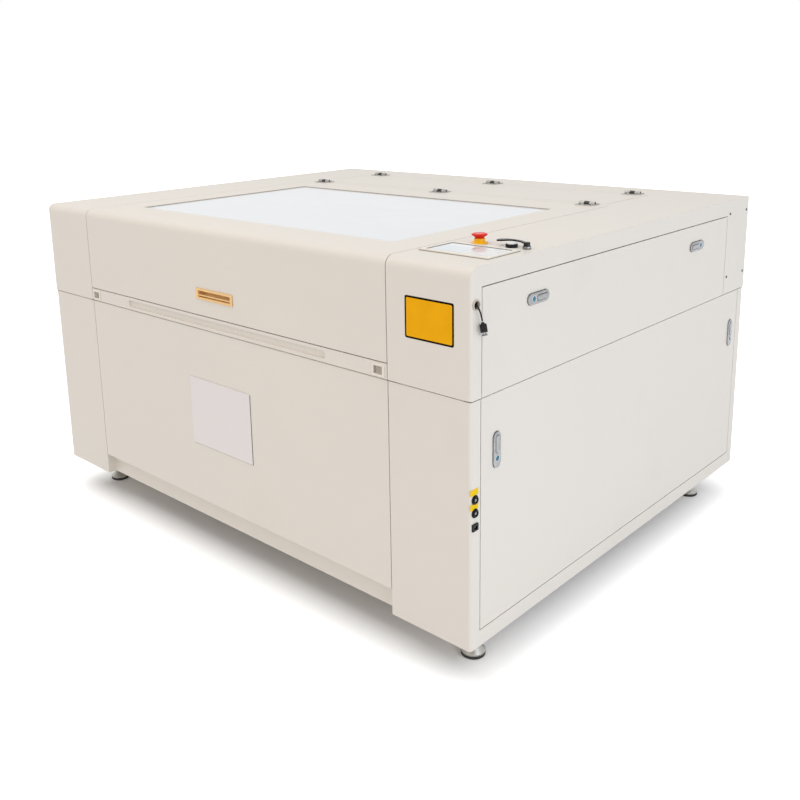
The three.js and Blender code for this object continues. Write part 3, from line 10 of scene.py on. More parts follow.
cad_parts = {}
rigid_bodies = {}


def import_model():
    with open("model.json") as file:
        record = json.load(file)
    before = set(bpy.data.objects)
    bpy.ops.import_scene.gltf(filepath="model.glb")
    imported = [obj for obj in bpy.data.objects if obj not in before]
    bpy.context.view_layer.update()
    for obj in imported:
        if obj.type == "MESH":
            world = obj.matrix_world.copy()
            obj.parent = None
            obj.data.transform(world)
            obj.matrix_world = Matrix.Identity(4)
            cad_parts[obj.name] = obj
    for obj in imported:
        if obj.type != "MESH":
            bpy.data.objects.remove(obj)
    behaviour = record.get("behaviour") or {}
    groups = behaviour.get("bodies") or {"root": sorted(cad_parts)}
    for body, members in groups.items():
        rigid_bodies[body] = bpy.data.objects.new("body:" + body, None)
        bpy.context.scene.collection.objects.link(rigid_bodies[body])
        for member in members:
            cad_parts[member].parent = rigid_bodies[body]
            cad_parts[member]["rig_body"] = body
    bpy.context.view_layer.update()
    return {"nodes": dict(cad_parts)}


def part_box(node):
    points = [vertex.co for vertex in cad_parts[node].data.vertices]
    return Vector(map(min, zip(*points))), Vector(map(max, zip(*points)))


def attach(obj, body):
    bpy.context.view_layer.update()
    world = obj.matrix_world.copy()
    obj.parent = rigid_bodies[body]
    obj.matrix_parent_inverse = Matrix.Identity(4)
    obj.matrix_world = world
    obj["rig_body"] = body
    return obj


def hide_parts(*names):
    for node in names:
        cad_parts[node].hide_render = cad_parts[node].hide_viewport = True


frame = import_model()
nodes = frame["nodes"]
print("frame loaded:", len(nodes), "nodes")


# Camera, solved for the photo's own viewpoint

view = {
    "place": (2.1055, -2.3017, 1.4348),
    "azimuth": 43.252,  # degrees round from the front
    "elevation": 12.816,
    "roll": -1.171,
    "sensor": 36,
    "lens": 41.716,
    "shift": (0.02698, -0.1375),
}


def linked(name, data):
    # a new object in the scene
    thing = bpy.data.objects.new(name, data)
    bpy.context.scene.collection.objects.link(thing)
    return thing


def makeCamera():
    azimuth, elevation, roll = (math.radians(view[k]) for k in ("azimuth", "elevation", "roll"))
    level = math.cos(elevation)
    back = Vector((math.sin(azimuth) * level, -math.cos(azimuth) * level, math.sin(elevation)))
    right = Vector((math.cos(azimuth), math.sin(azimuth), 0))
    up = back.cross(right)
    sideways = math.cos(roll) * right + math.sin(roll) * up
    upwards = math.cos(roll) * up - math.sin(roll) * right
    data = bpy.data.cameras.new("camera")
    data.sensor_width = view["sensor"]
    data.lens = view["lens"]
    data.shift_x, data.shift_y = view["shift"]
    camera = linked("camera", data)
    turn = Matrix((sideways, upwards, back)).transposed().to_4x4()
    camera.matrix_world = Matrix.Translation(view["place"]) @ turn
    bpy.context.scene.camera = camera


makeCamera()


# Finishes

def tone(red, green, blue):
    # screen values 0 to 255 as the linear colour that a shader takes
    shares = [value / 255 for value in (red, green, blue)]
    return tuple(s / 12.92 if s <= 0.04045 else ((s + 0.055) / 1.055) ** 2.4 for s in shares) + (1,)


def feed(tree, socket, value):
    # another node's output is linked, a fixed value is set
    if isinstance(value, bpy.types.NodeSocket):
        tree.links.new(value, socket)
    else:
        socket.default_value = value


def addNode(tree, kind, values, **settings):
    # settings are the node's own, values go to its sockets by name or place
    node = tree.nodes.new(kind)
    for name, setting in settings.items():
        setattr(node, name, setting)
    for socket, value in values.items():
        feed(tree, node.inputs[socket], value)
    return node


def addNoise(tree, place, scale, detail=2, stretch=None):
    if stretch:
        mapping = addNode(tree, "ShaderNodeMapping", {"Scale": stretch, "Vector": place})
        place = mapping.outputs["Vector"]
    values = {"Scale": scale, "Detail": detail, "Vector": place}
    return addNode(tree, "ShaderNodeTexNoise", values).outputs["Fac"]


def spread(tree, factor, low, high, start=0.3, stop=0.7):
    # the factor's start to stop as low to high
    values = {"Value": factor, "From Min": start, "From Max": stop, "To Min": low, "To Max": high}
    return addNode(tree, "ShaderNodeMapRange", values).outputs["Result"]


def mixed(tree, factor, low, high, kind="FLOAT"):
    # the sockets of a Mix node depend on its kind, FLOAT for values and RGBA for tones
    first, result = {"FLOAT": (2, 0), "RGBA": (6, 2)}[kind]
    values = {0: factor, first: low, first + 1: high}
    return addNode(tree, "ShaderNodeMix", values, data_type=kind).outputs[result]


def beyond(tree, place, axis, edge, width=0.0004):
    # 0 below a coordinate, 1 past it
    apart = addNode(tree, "ShaderNodeSeparateXYZ", {"Vector": place})
    return spread(tree, apart.outputs[axis], 0, 1, edge - width / 2, edge + width / 2)


def nearEdges(tree, radius):
    # how far the rounded normal leans from the true one, which is only so along an edge
    rounded = addNode(tree, "ShaderNodeBevel", {"Radius": radius}, samples=4).outputs["Normal"]
    true = tree.nodes.new("ShaderNodeNewGeometry").outputs["Normal"]
    values = {0: rounded, 1: true}
    lean = addNode(tree, "ShaderNodeVectorMath", values, operation="DOT_PRODUCT")
    return spread(tree, lean.outputs["Value"], 1, 0, 0.8, 0.995), rounded


def makeFinish(name, look):
    # Two near tones drift over the surface, a fine grain roughens it, and its edges are softened;
    # where a look asks for it, a painted highlight lightens its edges.
    material = bpy.data.materials.new(name)
    material.use_nodes = True
    tree = material.node_tree
    shader = tree.nodes["Principled BSDF"]
    place = tree.nodes.new("ShaderNodeTexCoord").outputs["Object"]
    stretch = look.get("stretch")
    drift = addNoise(tree, place, look["drift"], 3, stretch)
    colour = mixed(tree, spread(tree, drift, 0, 1), *look["tones"], "RGBA")
    rough = spread(tree, drift, *look["roughness"])
    if "speckTone" in look:
        specks = addNoise(tree, place, look["speckScale"], 4)
        share = spread(tree, specks, 0, look["speckShare"], 0.6, 0.75)
        colour = mixed(tree, share, colour, look["speckTone"], "RGBA")
    metal = look["metallic"]
    for zone in look.get("zones", ()):
        mask = beyond(tree, place, zone["axis"], zone["edge"])
        if zone.get("below"):
            mask = spread(tree, mask, 1, 0, 0, 1)
        colour = mixed(tree, mask, colour, zone["tone"], "RGBA")
        rough = mixed(tree, mask, rough, zone["roughness"])
        metal = mixed(tree, mask, metal, zone.get("metallic", 0))
    edges, normal = nearEdges(tree, look["rounding"])
    # painted highlight: a lighter tone along the edges, broken up by noise
    if "edgeTone" in look:
        wear = spread(tree, addNoise(tree, place, look["wearScale"], 3), 0.25, look["edgeShare"])
        edgeHighlight = addNode(tree, "ShaderNodeMath", {0: edges, 1: wear}, operation="MULTIPLY")
        colour = mixed(tree, edgeHighlight.outputs[0], colour, look["edgeTone"], "RGBA")
    grain = addNoise(tree, place, look["grain"], 2, stretch)
    values = {"Distance": look["depth"], "Height": grain, "Normal": normal}
    bump = addNode(tree, "ShaderNodeBump", values)
    values = {
        "Base Color": colour, "Roughness": rough, "Metallic": metal,
        "Normal": bump.outputs["Normal"],
        "Specular IOR Level": look["specular"], "Coat Weight": look["coat"],
        **look.get("sockets", {}),
    }
    for socket, value in values.items():
        feed(tree, shader.inputs[socket], value)
    return material


usualLook = {
    "drift": 60,  # how fine the patches of the two tones are
    "grain": 900,  # how fine the grain is
    "depth": 0.00002,  # and how deep
    "rounding": 0.0005,
    "metallic": 0,
    "specular": 0.5,
    "coat": 0,
}


def makeLook(low, high, roughness, **special):
    # two screen tones, the roughness between them, and what differs from the usual look
    return {"tones": (tone(*low), tone(*high)), "roughness": roughness, **usualLook, **special}


# bare steel above the top sheet, rubber under a foot's disc
hingeZone = {
    "axis": 2, "edge": 1.0366, "tone": tone(174, 173, 169), "roughness": 0.34, "metallic": 0.9,
}
soleZone = {"axis": 2, "edge": 0.009, "below": True, "tone": tone(46, 44, 42), "roughness": 0.7}
creamLook = makeLook(
    (226, 220, 211), (229, 223, 214), (0.42, 0.5), drift=1.6, grain=750,
    # the lighter edge tone is a painted highlight along the edges
    depth=0.00003, rounding=0.0012, edgeTone=tone(242, 238, 231), edgeShare=0.8,
    speckTone=tone(205, 196, 184), speckScale=3.5, speckShare=0.1, wearScale=24,
)
looks = {
    "cream": creamLook,
    "creamHinged": {**creamLook, "zones": [hingeZone]},
    "creamPlastic": makeLook(
        (232, 225, 213), (236, 230, 219), (0.34, 0.42), drift=30, grain=1500, rounding=0.0004,
    ),
    "satin": makeLook((132, 133, 134), (152, 153, 154), (0.22, 0.36), metallic=1, rounding=0.0006),
    "hingeSteel": makeLook((172, 171, 167), (192, 191, 186), (0.3, 0.42), drift=50, metallic=1),
    "zinc": makeLook((168, 170, 172), (188, 190, 190), (0.26, 0.42), depth=0.00003, metallic=1),
    "darkSteel": makeLook(
        (66, 64, 62), (86, 83, 80), (0.34, 0.5), drift=80, grain=1200, depth=0.00003, metallic=0.85,
    ),
    "alloy": makeLook(
        (196, 198, 200), (210, 211, 213), (0.32, 0.44), drift=9, grain=500, depth=0.00003,
        metallic=1, rounding=0.0008, stretch=(0.05, 1, 1),
    ),
    "railAlloy": makeLook(
        (190, 192, 194), (206, 207, 209), (0.32, 0.44), drift=9, grain=500, depth=0.00003,
        metallic=1, rounding=0.0008, stretch=(1, 0.05, 1),
    ),
    "slats": makeLook(
        (148, 148, 146), (176, 176, 174), (0.35, 0.55), drift=12, grain=400, depth=0.00004,
        metallic=0.9, rounding=0.0008, speckTone=tone(92, 78, 62), speckScale=18, speckShare=0.5,
    ),
    "chrome": makeLook(
        (196, 198, 201), (212, 214, 216), (0.14, 0.26), drift=40, grain=300, metallic=1,
    ),
    "brass": makeLook(
        (212, 170, 111), (230, 192, 132), (0.28, 0.42), drift=22, grain=700, depth=0.00004,
        metallic=0.35, rounding=0.0006, stretch=(0.06, 1, 1),
    ),
    "acrylic": makeLook(
        (214, 219, 224), (227, 230, 233), (0.16, 0.3), drift=1.3, grain=6, depth=0.0001,
        rounding=0.0008, speckTone=tone(200, 206, 214), speckScale=5, speckShare=0.35,
        sockets={"Coat Weight": 0.3, "Coat Roughness": 0.08},
    ),
    "glass": makeLook(
        (222, 230, 236), (232, 238, 242), (0.02, 0.06), drift=3, grain=5, depth=0.00005,
        sockets={"Transmission Weight": 0.85, "IOR": 1.47},
    ),
    "black": makeLook(
        (12, 11, 11), (20, 19, 19), (0.38, 0.52), grain=1600, depth=0.00003, rounding=0.0004,
        specular=0.22,
    ),
    "gloss": makeLook(
        (8, 8, 8), (15, 14, 14), (0.16, 0.26), grain=1200, depth=0.00001, specular=0.3,
    ),
    "printBlack": makeLook(
        (7, 6, 4), (12, 10, 8), (0.5, 0.65), drift=30, depth=0.00001, rounding=0.0003,
        specular=0.02,
    ),
    "rubber": makeLook(
        (40, 39, 38), (54, 52, 50), (0.62, 0.78), drift=50, depth=0.00005, rounding=0.0006,
    ),
    "gasket": makeLook((172, 160, 148), (181, 169, 157), (0.55, 0.7), drift=20, depth=0.00003),
    # dark metal for the plate round a latch's pad: painted shade of the groove
    "well": makeLook(
        (94, 94, 93), (112, 112, 110), (0.4, 0.55), drift=70, metallic=0.8, rounding=0.0003,
    ),
    "bushGrey": makeLook(
        (192, 182, 168), (200, 190, 176), (0.42, 0.52), grain=1500, rounding=0.0004,
    ),
    "grey": makeLook(
        (172, 163, 151), (183, 174, 163), (0.4, 0.5), drift=50, grain=1500, rounding=0.0004,
    ),
    "white": makeLook(
        (226, 226, 222), (236, 236, 232), (0.2, 0.3), grain=1500, depth=0.00001, rounding=0.0004,
        coat=0.4,
    ),
    "red": makeLook(
        (214, 24, 8), (226, 36, 16), (0.26, 0.38), grain=1200, depth=0.00001, specular=0.25,
    ),
    # a lighter red for the top of the stop head: painted highlight
    "redTop": makeLook(
        (228, 66, 46), (236, 80, 58), (0.24, 0.36), grain=1200, depth=0.00001, rounding=0.0004,
        specular=0.4,
    ),
    "yellow": makeLook((248, 186, 6), (252, 196, 16), (0.32, 0.44), grain=1200, specular=0.25),
    "tagYellow": makeLook(
        (247, 203, 8), (250, 211, 22), (0.4, 0.5), depth=0.00001, rounding=0.0003, specular=0.08,
    ),
    "teal": makeLook(
        (4, 92, 122), (18, 114, 144), (0.16, 0.28), drift=90, depth=0.00001, specular=0.3,
    ),
    "foot": makeLook(
        (176, 174, 168), (192, 190, 184), (0.3, 0.45), drift=40, grain=700, depth=0.00003,
        metallic=0.9, rounding=0.0006, zones=[soleZone],
    ),
    "card": makeLook(
        (227, 221, 221), (231, 225, 225), (0.28, 0.4), drift=4, grain=160, depth=0.00005,
        rounding=0.0003,
    ),
    "amber": makeLook(
        (241, 171, 4), (248, 180, 8), (0.4, 0.5), drift=16, grain=500, rounding=0.0003,
        specular=0.08,
    ),
    "membrane": makeLook(
        (224, 229, 234), (231, 236, 240), (0.14, 0.22), drift=14, grain=300, depth=0.00001,
        rounding=0.0003, coat=0.5,
    ),
    "display": makeLook(
        (196, 206, 214), (206, 216, 223), (0.1, 0.16), drift=20, grain=200, depth=0.00001,
        rounding=0.0003, coat=0.8,
    ),
}
finishes = {name: makeFinish(name, values) for name, values in looks.items()}
print("finishes made:", len(finishes))


# Shaping tools

tiny = 1e-6


def around(centre, size):
    # the low and high corners of a box round its centre
    return [c - s / 2 for c, s in zip(centre, size)], [c + s / 2 for c, s in zip(centre, size)]


def squareEdges(bm, turn=1.2):
    # edges at which the surface turns sharply
    return [e for e in bm.edges if e.is_manifold and e.calc_face_angle(0) > turn]


def edgesAlong(bm, axis):
    return [e for e in bm.edges if abs(e.verts[0].co[axis] - e.verts[1].co[axis]) > tiny]


def softenEdges(bm, edges, width, segments=2):
    bmesh.ops.bevel(
        bm, geom=list(edges), offset=width, offset_type="OFFSET", segments=segments, profile=0.5,
        affect="EDGES", material=-1, clamp_overlap=True,
    )


def addBox(bm, low, high):
    size = [b - a for a, b in zip(low, high)]
    middle = [(a + b) / 2 for a, b in zip(low, high)]
    matrix = Matrix.Translation(middle) @ Matrix.Diagonal((*size, 1))
    return bmesh.ops.create_cube(bm, size=1, matrix=matrix)["verts"]


def addPlate(bm, low, high, axis, corner, edge=0, segments=6):
    # a box whose corners along one axis are rounded, and then its rims
    verts = set(addBox(bm, low, high))
    upright = [e for e in edgesAlong(bm, axis) if verts.issuperset(e.verts)]
    softenEdges(bm, upright, corner, segments)
    if edge:
        rims = [
            e for e in squareEdges(bm)
            if all(low[i] - tiny <= v.co[i] <= high[i] + tiny for v in e.verts for i in range(3))
        ]
        softenEdges(bm, rims, edge)


towards = {
    "x": Matrix.Rotation(math.pi / 2, 4, "Y"),
    "y": Matrix.Rotation(-math.pi / 2, 4, "X"),
    "z": Matrix.Identity(4),
}


def addBar(bm, axis, radius, start, length, steps=24):
    # a round bar from a start point along an axis
    step = Vector([length if a == axis else 0 for a in "xyz"])
    bmesh.ops.create_cone(
        bm, cap_ends=True, segments=steps, radius1=radius, radius2=radius, depth=length,
        matrix=Matrix.Translation(Vector(start) + step / 2) @ towards[axis],
    )


def addTurned(bm, axis, profile, centre, steps=48):
    # profile points are radius and height along the axis, closed on the axis or on themselves
    fresh = [bm.verts.new((r, 0, h)) for r, h in profile]
    edges = [bm.edges.new(pair) for pair in zip(fresh, fresh[1:])]
    if profile[0][0] > 0 and profile[-1][0] > 0:
        edges.append(bm.edges.new((fresh[-1], fresh[0])))
    before = set(bm.verts) - set(fresh)
    bmesh.ops.spin(
        bm, geom=fresh + edges, cent=(0, 0, 0), axis=(0, 0, 1), angle=2 * math.pi, steps=steps,
        use_merge=True,
    )
    made = [v for v in bm.verts if v not in before]
    bmesh.ops.remove_doubles(bm, verts=made, dist=1e-7)
    made = [v for v in bm.verts if v not in before]
    bmesh.ops.transform(bm, matrix=Matrix.Translation(centre) @ towards[axis], verts=made)


def addFrame(bm, low, high, width, axis=2):
    # a flat rectangular ring: the box's two faces are inset, joined and opened
    verts = set(addBox(bm, low, high))
    caps = [f for f in bm.faces if verts.issuperset(f.verts) and abs(f.normal[axis]) > 0.9]
    bmesh.ops.inset_individual(bm, faces=caps, thickness=width, use_even_offset=True)
    bmesh.ops.bridge_loops(bm, edges=[e for f in caps for e in f.edges])
    bmesh.ops.delete(bm, geom=caps, context="FACES_ONLY")


def addSlotShell(bm, way, centre, rings, closed=False, steps=32):
    # rings are x, length, width and shift: loops with round ends, each joined to the next
    y, z = centre
    lay = {
        "along": Matrix(((0, 0, 1, 0), (1, 0, 0, y), (0, 1, 0, z), (0, 0, 0, 1))),
        "up": Matrix(((0, 0, 1, 0), (0, -1, 0, y), (1, 0, 0, z), (0, 0, 0, 1))),
    }[way]
    turn = Matrix.Rotation(math.pi / steps, 4, "Z")
    loops = []
    for x, length, width, shift in rings:
        ring = bmesh.ops.create_circle(bm, segments=steps, radius=width / 2, matrix=turn)
        for vert in ring["verts"]:
            vert.co.x += math.copysign((length - width) / 2, vert.co.x) + shift
            vert.co.z = x
        loops.append(list({e for v in ring["verts"] for e in v.link_edges}))
        bmesh.ops.transform(bm, matrix=lay, verts=ring["verts"])
    for near, far in zip(loops, loops[1:]):
        bmesh.ops.bridge_loops(bm, edges=near + far)
    if closed:
        bmesh.ops.bridge_loops(bm, edges=loops[-1] + loops[0])
    else:
        for loop in (loops[0], loops[-1]):
            bmesh.ops.contextual_create(bm, geom=loop)


def makePiece(bm, name, finish, slotName, body="cabinet", sharp=32):
    # corners that turn by more than sharp, in degrees, stay crisp
    bmesh.ops.remove_doubles(bm, verts=bm.verts, dist=1e-7)
    bmesh.ops.recalc_face_normals(bm, faces=bm.faces)
    mesh = bpy.data.meshes.new(name)
    bm.to_mesh(mesh)
    bm.free()
    mesh.shade_smooth()
    mesh.set_sharp_from_angle(angle=math.radians(sharp))
    mesh.materials.append(finishes[finish])
    piece = linked(name, mesh)
    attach(piece, body)
    return piece


def makeFrom(shape, sizes, *labels):
    # one shape as a piece of its own, with makePiece's name, finish and body
    bm = bmesh.new()
    shape(bm, *sizes)
    return makePiece(bm, *labels)


def dressNode(node, name, finish, slotName, edge=0, segments=2, sharp=32):
    # a welded copy of the frame's piece, with its corners softened and its round sides smooth
    bm = bmesh.new()
    bm.from_mesh(nodes[node].data)
    bmesh.ops.remove_doubles(bm, verts=bm.verts, dist=2e-5)
    bmesh.ops.dissolve_limit(bm, angle_limit=math.radians(0.5), verts=bm.verts, edges=bm.edges)
    if edge:
        softenEdges(bm, squareEdges(bm, math.radians(50)), edge, segments)
    piece = makePiece(bm, name, finish, slotName, nodes[node]["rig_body"], sharp)
    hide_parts(node)
    return piece


# Data lead: a short black cord that hangs from its grommet, and its plug

lead = {
    "start": (0.9163, -0.733, 0.952),
    "reach": (0.0157, 0.007, -0.035),
    "radius": 0.0018,
    "routeShares": [  # of the reach
        (0, 0, 0), (0.096, 0, 0), (0.27, 0, 0.014), (0.42, 0.01, 0.053), (0.61, 0.06, 0.154),
        (0.764, 0.17, 0.297), (0.879, 0.37, 0.486), (0.955, 0.66, 0.729), (1, 1, 1),
    ],
    "steps": 4,  # smooth points between two of the route's
}


def catmullPoint(points, index, share):
    a, b, c, d = (points[min(max(index + k, 0), len(points) - 1)] for k in (-1, 0, 1, 2))
    bend, twist = 2 * a - 5 * b + 4 * c - d, 3 * b - a - 3 * c + d
    return 0.5 * (2 * b + (c - a) * share + bend * share ** 2 + twist * share ** 3)


def makeLead():
    start, steps = Vector(lead["start"]), lead["steps"]
    route = [
        start + Vector([a * b for a, b in zip(shares, lead["reach"])])
        for shares in lead["routeShares"]
    ]
    line = [catmullPoint(route, i, k / steps) for i in range(len(route) - 1) for k in range(steps)]
    line.append(route[-1])
    curve = bpy.data.curves.new("leadCord", "CURVE")
    curve.dimensions = "3D"
    curve.bevel_depth = lead["radius"]
    curve.bevel_resolution = 5
    curve.use_fill_caps = True
    spline = curve.splines.new("POLY")
    spline.points.add(len(line) - 1)
    for point, at in zip(spline.points, line):
        point.co = (*at, 1)
    spline.use_smooth = True
    curve.materials.append(finishes["black"])
    cord = linked("leadCord", curve)
    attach(cord, "cabinet")
    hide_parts("lead_cord")
    length = sum((b - a).length for a, b in zip(line, line[1:]))
    return cord, line, length


plug = {
    "turn": 0.75,  # radians round the cord
    "body": (0.016, 0.027, 0.008),  # width, length from the cord's end, thickness
    "corner": 0.0022,
    "edge": 0.0008,
    "shoulder": 0.009,
    "coneShare": 0.62,  # of the shoulder's length
    "coneWidth": 0.72,  # of the body's width
    "coneFlat": 0.62,
    "neckRadius": 0.0029,
    "ribs": 4,
    "ribStart": 0.003,
    "ribPitch": 0.0035,
    "ribWidth": 0.0014,
    "ribShare": 0.62,  # of the body's width
    "ribRise": 0.0004,
    "nose": (0.012, 0.008, 0.0045),  # width, length, thickness
    "noseWall": 0.0004,
    "noseRoot": 0.001,
    "noseDepth": 0.9,  # of the nose's length
    "window": (0.0024, 0.0024, 0.0003),
    "windowSpot": (0.42, 0.5),  # of the nose's half width and length
    "mouth": (0.0014, 0.0007, 0.0002),  # length, width and rise of its band
}


def makePlug(line):
    heading = (line[-1] - line[-2]).normalized()
    tilt = math.atan2(heading.y, -heading.z)
    seat = (
        Matrix.Translation(line[-1]) @ Matrix.Rotation(tilt, 4, "X")
        @ Matrix.Rotation(plug["turn"], 4, "Z") @ Matrix.Rotation(math.pi / 2, 4, "X")
    )

    def makeSeated(bm, *labels):
        bmesh.ops.transform(bm, matrix=seat, verts=bm.verts)
        return makePiece(bm, *labels)

    width, length, thickness = plug["body"]
    shoulder = plug["shoulder"]
    bm = bmesh.new()
    addPlate(
        bm, (-width / 2, -length, -thickness / 2), (width / 2, -shoulder, thickness / 2), 1,
        plug["corner"], plug["edge"], 4,
    )
    depth = shoulder * plug["coneShare"]
    lay = Matrix.Diagonal((1, 1, plug["coneFlat"], 1)) @ Matrix.Rotation(-math.pi / 2, 4, "X")
    bmesh.ops.create_cone(
        bm, cap_ends=True, segments=20, radius1=width / 2 * plug["coneWidth"],
        radius2=plug["neckRadius"], depth=depth,
        matrix=Matrix.Translation((0, depth / 2 - shoulder, 0)) @ lay,
    )
    rise = plug["ribRise"]
    for k in range(plug["ribs"]):
        y = -shoulder - plug["ribStart"] - plug["ribPitch"] * k
        size = (width * plug["ribShare"], plug["ribWidth"], thickness + 2 * rise)
        addPlate(bm, *around((0, y, 0), size), 1, rise, 0, 2)
    body = makeSeated(bm, "leadPlugBody", "black", "black_plastic")
    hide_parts("lead_plug")

    noseWidth, noseLength, noseThickness = plug["nose"]
    half, thick = noseWidth / 2, noseThickness / 2
    noseEnd = -length - noseLength
    bm = bmesh.new()
    noseRoot = plug["noseRoot"] - length
    addPlate(bm, (-half, noseEnd, -thick), (half, noseRoot, thick), 1, 0.0005, 0, 2)
    mouth = min(bm.faces, key=lambda f: f.calc_center_median().y)
    bmesh.ops.inset_individual(bm, faces=[mouth], thickness=plug["noseWall"])
    bmesh.ops.translate(bm, verts=mouth.verts, vec=(0, noseLength * plug["noseDepth"], 0))
    shell = makeSeated(bm, "leadPlugShell", "satin", "chrome")

    acrossShare, alongShare = plug["windowSpot"]
    y = -length - noseLength * alongShare
    bm = bmesh.new()
    for side in (-1, 1):
        for face in (1, -1):
            spot = (side * half * acrossShare, y, face * (thick - 0.00005))
            addBox(bm, *around(spot, plug["window"]))
    windows = makeSeated(bm, "leadPlugWindows", "black", "black_plastic")

    bandLength, bandWidth, bandRise = plug["mouth"]
    bm = bmesh.new()
    addFrame(
        bm, (-half - bandRise, noseEnd - 0.0001, -thick - bandRise),
        (half + bandRise, noseEnd + bandLength, thick + bandRise), bandWidth, 1,
    )
    band = makeSeated(bm, "leadPlugMouth", "black", "black_plastic")
    return [body, shell, windows, band]


cord, cordLine, cordLength = makeLead()
plugPieces = makePlug(cordLine)
print("lead made:", round(cordLength, 4), "m")


grommet = {
    "centre": (0.92, -0.733, 0.952),
    "radius": 0.013,
    "bore": 0.0093,
    "neck": 0.0097,
    "proud": 0.0033,
    "depth": 0.007,
    "web": 0.003,
    "cordHole": 0.0022,
}


def makeGrommet():
    r, bore, neck, proud = (grommet[k] for k in ("radius", "bore", "neck", "proud"))
    back = -grommet["depth"]
    seat = back + grommet["web"]
    rim = [
        (bore, seat), (neck, seat), (neck, 0.0003), (r, 0.0003), (r, proud * 0.5),
        (r * 0.95, proud * 0.82), (r * 0.86, proud), (bore * 1.14, proud),
        (bore * 1.03, proud * 0.85), (bore, proud * 0.5),
    ]
    sizes = ("x", rim, grommet["centre"])
    ring = makeFrom(addTurned, sizes, "grommetRing", "bushGrey", "grey_plastic")
    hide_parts("lead_grommet")
    hole = grommet["cordHole"]
    web = [
        (0, back), (neck, back), (neck, seat - 0.0002), (hole, seat - 0.0002), (0, back + 0.0024),
    ]
    sizes = ("x", web, grommet["centre"])
    makeFrom(addTurned, sizes, "grommetWeb", "black", "black_plastic")


makeGrommet()


# Nodes that keep their mesh and only take a finish

nodeFinishes = {
    "cream": (
        "base_cabinet", "upper_housing", "front_flap", "front_door", "upper_side_door",
        "lower_side_door",
    ),
    "creamHinged": ("lid_shell", "rear_cover"),
    "acrylic": ("lid_window",),
    "slats": ("work_table",),
    "alloy": ("gantry_beam", "laser_head"),
    "railAlloy": ("y_rail_left", "y_rail_right"),
    "black": ("y_motor", "service_sockets"),
    "zinc": ("power_supply",),
    "darkSteel": ("motion_controller",),
}
for finish, kept in nodeFinishes.items():
    for node in kept:
        nodes[node].data.materials.clear()
        nodes[node].data.materials.append(finishes[finish])
print("plain nodes finished")


# Round frame pieces are welded and smoothed

roundNodes = [
    # node, piece, finish, slot, width of the softened edges, sharp angle
    ("laser_tube", "laserTube", "glass", "tube_glass", 0, 40),
    ("tube_cradle_left", "tubeCradleLeft", "black", "black_plastic", 0.0012, 32),
    ("tube_cradle_right", "tubeCradleRight", "black", "black_plastic", 0.0012, 32),
    ("y_drive_shaft", "driveShaft", "zinc", "zinc_steel", 0.0003, 35),
    ("strut_cylinder_left", "strutCylinderLeft", "black", "black_plastic", 0.0004, 35),
    ("strut_cylinder_right", "strutCylinderRight", "black", "black_plastic", 0.0004, 35),
    ("strut_rod_left", "strutRodLeft", "chrome", "chrome", 0.0004, 35),
    ("strut_rod_right", "strutRodRight", "chrome", "chrome", 0.0004, 35),
]
for place in ("front_left", "front_right", "rear_left", "rear_right"):
    screw = (f"lift_screw_{place}", f"liftScrew_{place}", "zinc", "zinc_steel", 0.0003, 35)
    roundNodes.append(screw)
for node, name, finish, slotName, edge, sharp in roundNodes:
    dressNode(node, name, finish, slotName, edge, 2, sharp)
print("round pieces smoothed")


# Levelling feet

foot = {
    "places": (
        ("front_left", -0.826, -0.616), ("front_right", 0.826, -0.616),
        ("rear_left", -0.826, 0.616), ("rear_right", 0.826, 0.616),
    ),
    "radius": 0.0315,
    "rim": 0.017,
    "neck": (0.014, 0.034),  # radius, height
    "stem": 0.009,
    "nut": (0.017, 0.014),
    "height": 0.1077,
    "threads": 14,
    "threadDepth": 0.0006,
}


def makeFeet():
    r, rim, stem = foot["radius"], foot["rim"], foot["stem"]
    neckRadius, neckHeight = foot["neck"]
    nutRadius, nutHeight = foot["nut"]
    nutBottom = foot["height"] - nutHeight
    root = stem - foot["threadDepth"]
    profile = [
        (0, 0), (r - 0.002, 0), (r, 0.002), (r, 0.0075), (r - 0.0008, 0.0085), (r - 0.0008, 0.0095),
        (r, 0.0105), (r, rim - 0.003), (r - 0.0025, rim), (neckRadius + 0.004, neckHeight - 0.006),
        (neckRadius, neckHeight - 0.001), (neckRadius - 0.001, neckHeight),
    ]
    pitch = (nutBottom - neckHeight) / foot["threads"]
    for k in range(foot["threads"]):
        z = neckHeight + k * pitch
        profile += [(root, z + 0.0002), (stem, z + pitch * 0.5)]
    profile += [(root, nutBottom), (0, nutBottom)]
    for place, x, y in foot["places"]:
        sizes = ("z", profile, (x, y, 0), 40)
        name = f"foot_{place}_turned"
        piece = makeFrom(addTurned, sizes, name, "foot", "foot_metal", "cabinet", 28)
        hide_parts(f"foot_{place}")
        bm = bmesh.new()
        addBar(bm, "z", nutRadius, (x, y, nutBottom), nutHeight, 6)
        softenEdges(bm, bm.edges[:], 0.0012)
        makePiece(bm, f"foot_{place}_nut", "zinc", "zinc_steel")


makeFeet()
print("feet made")


# Hinges: steel leaves with black screws round a dark knuckle

hinge = {
    "rows": (
        # name, line that it turns on, spacing, body that it carries
        ("lid", 0.270, 0.598, "lid"),
        ("cover", 0.588, 0.585, "rear_cover"),
    ),
    "axis": 1.042,
    "top": 1.036,
    "half": 0.028,
    "leafDepth": 0.024,
    "leaf": 0.003,
    "leafCorner": 0.004,
    "knuckle": 0.0055,
    "pin": (0.003, 0.0286),  # radius, half length
    "gap": 0.0003,
    "centreHalf": 0.009,
    "screw": (0.0042, 0.0012),
    "screwShares": (-0.62, 0, 0.62),  # of the hinge's half length
}


def makeScrews(name, finish, body, axis, places, size):
    # low domed heads in one piece
    radius, rise = size
    profile = [
        (0, -0.0002), (radius, -0.0002), (radius, 0), (radius * 0.97, rise * 0.45),
        (radius * 0.8, rise * 0.8), (radius * 0.45, rise), (0, rise),
    ]
    bm = bmesh.new()
    for place in places:
        addTurned(bm, axis, profile, place, 20)
    makePiece(bm, name, finish, "zinc_steel", body)


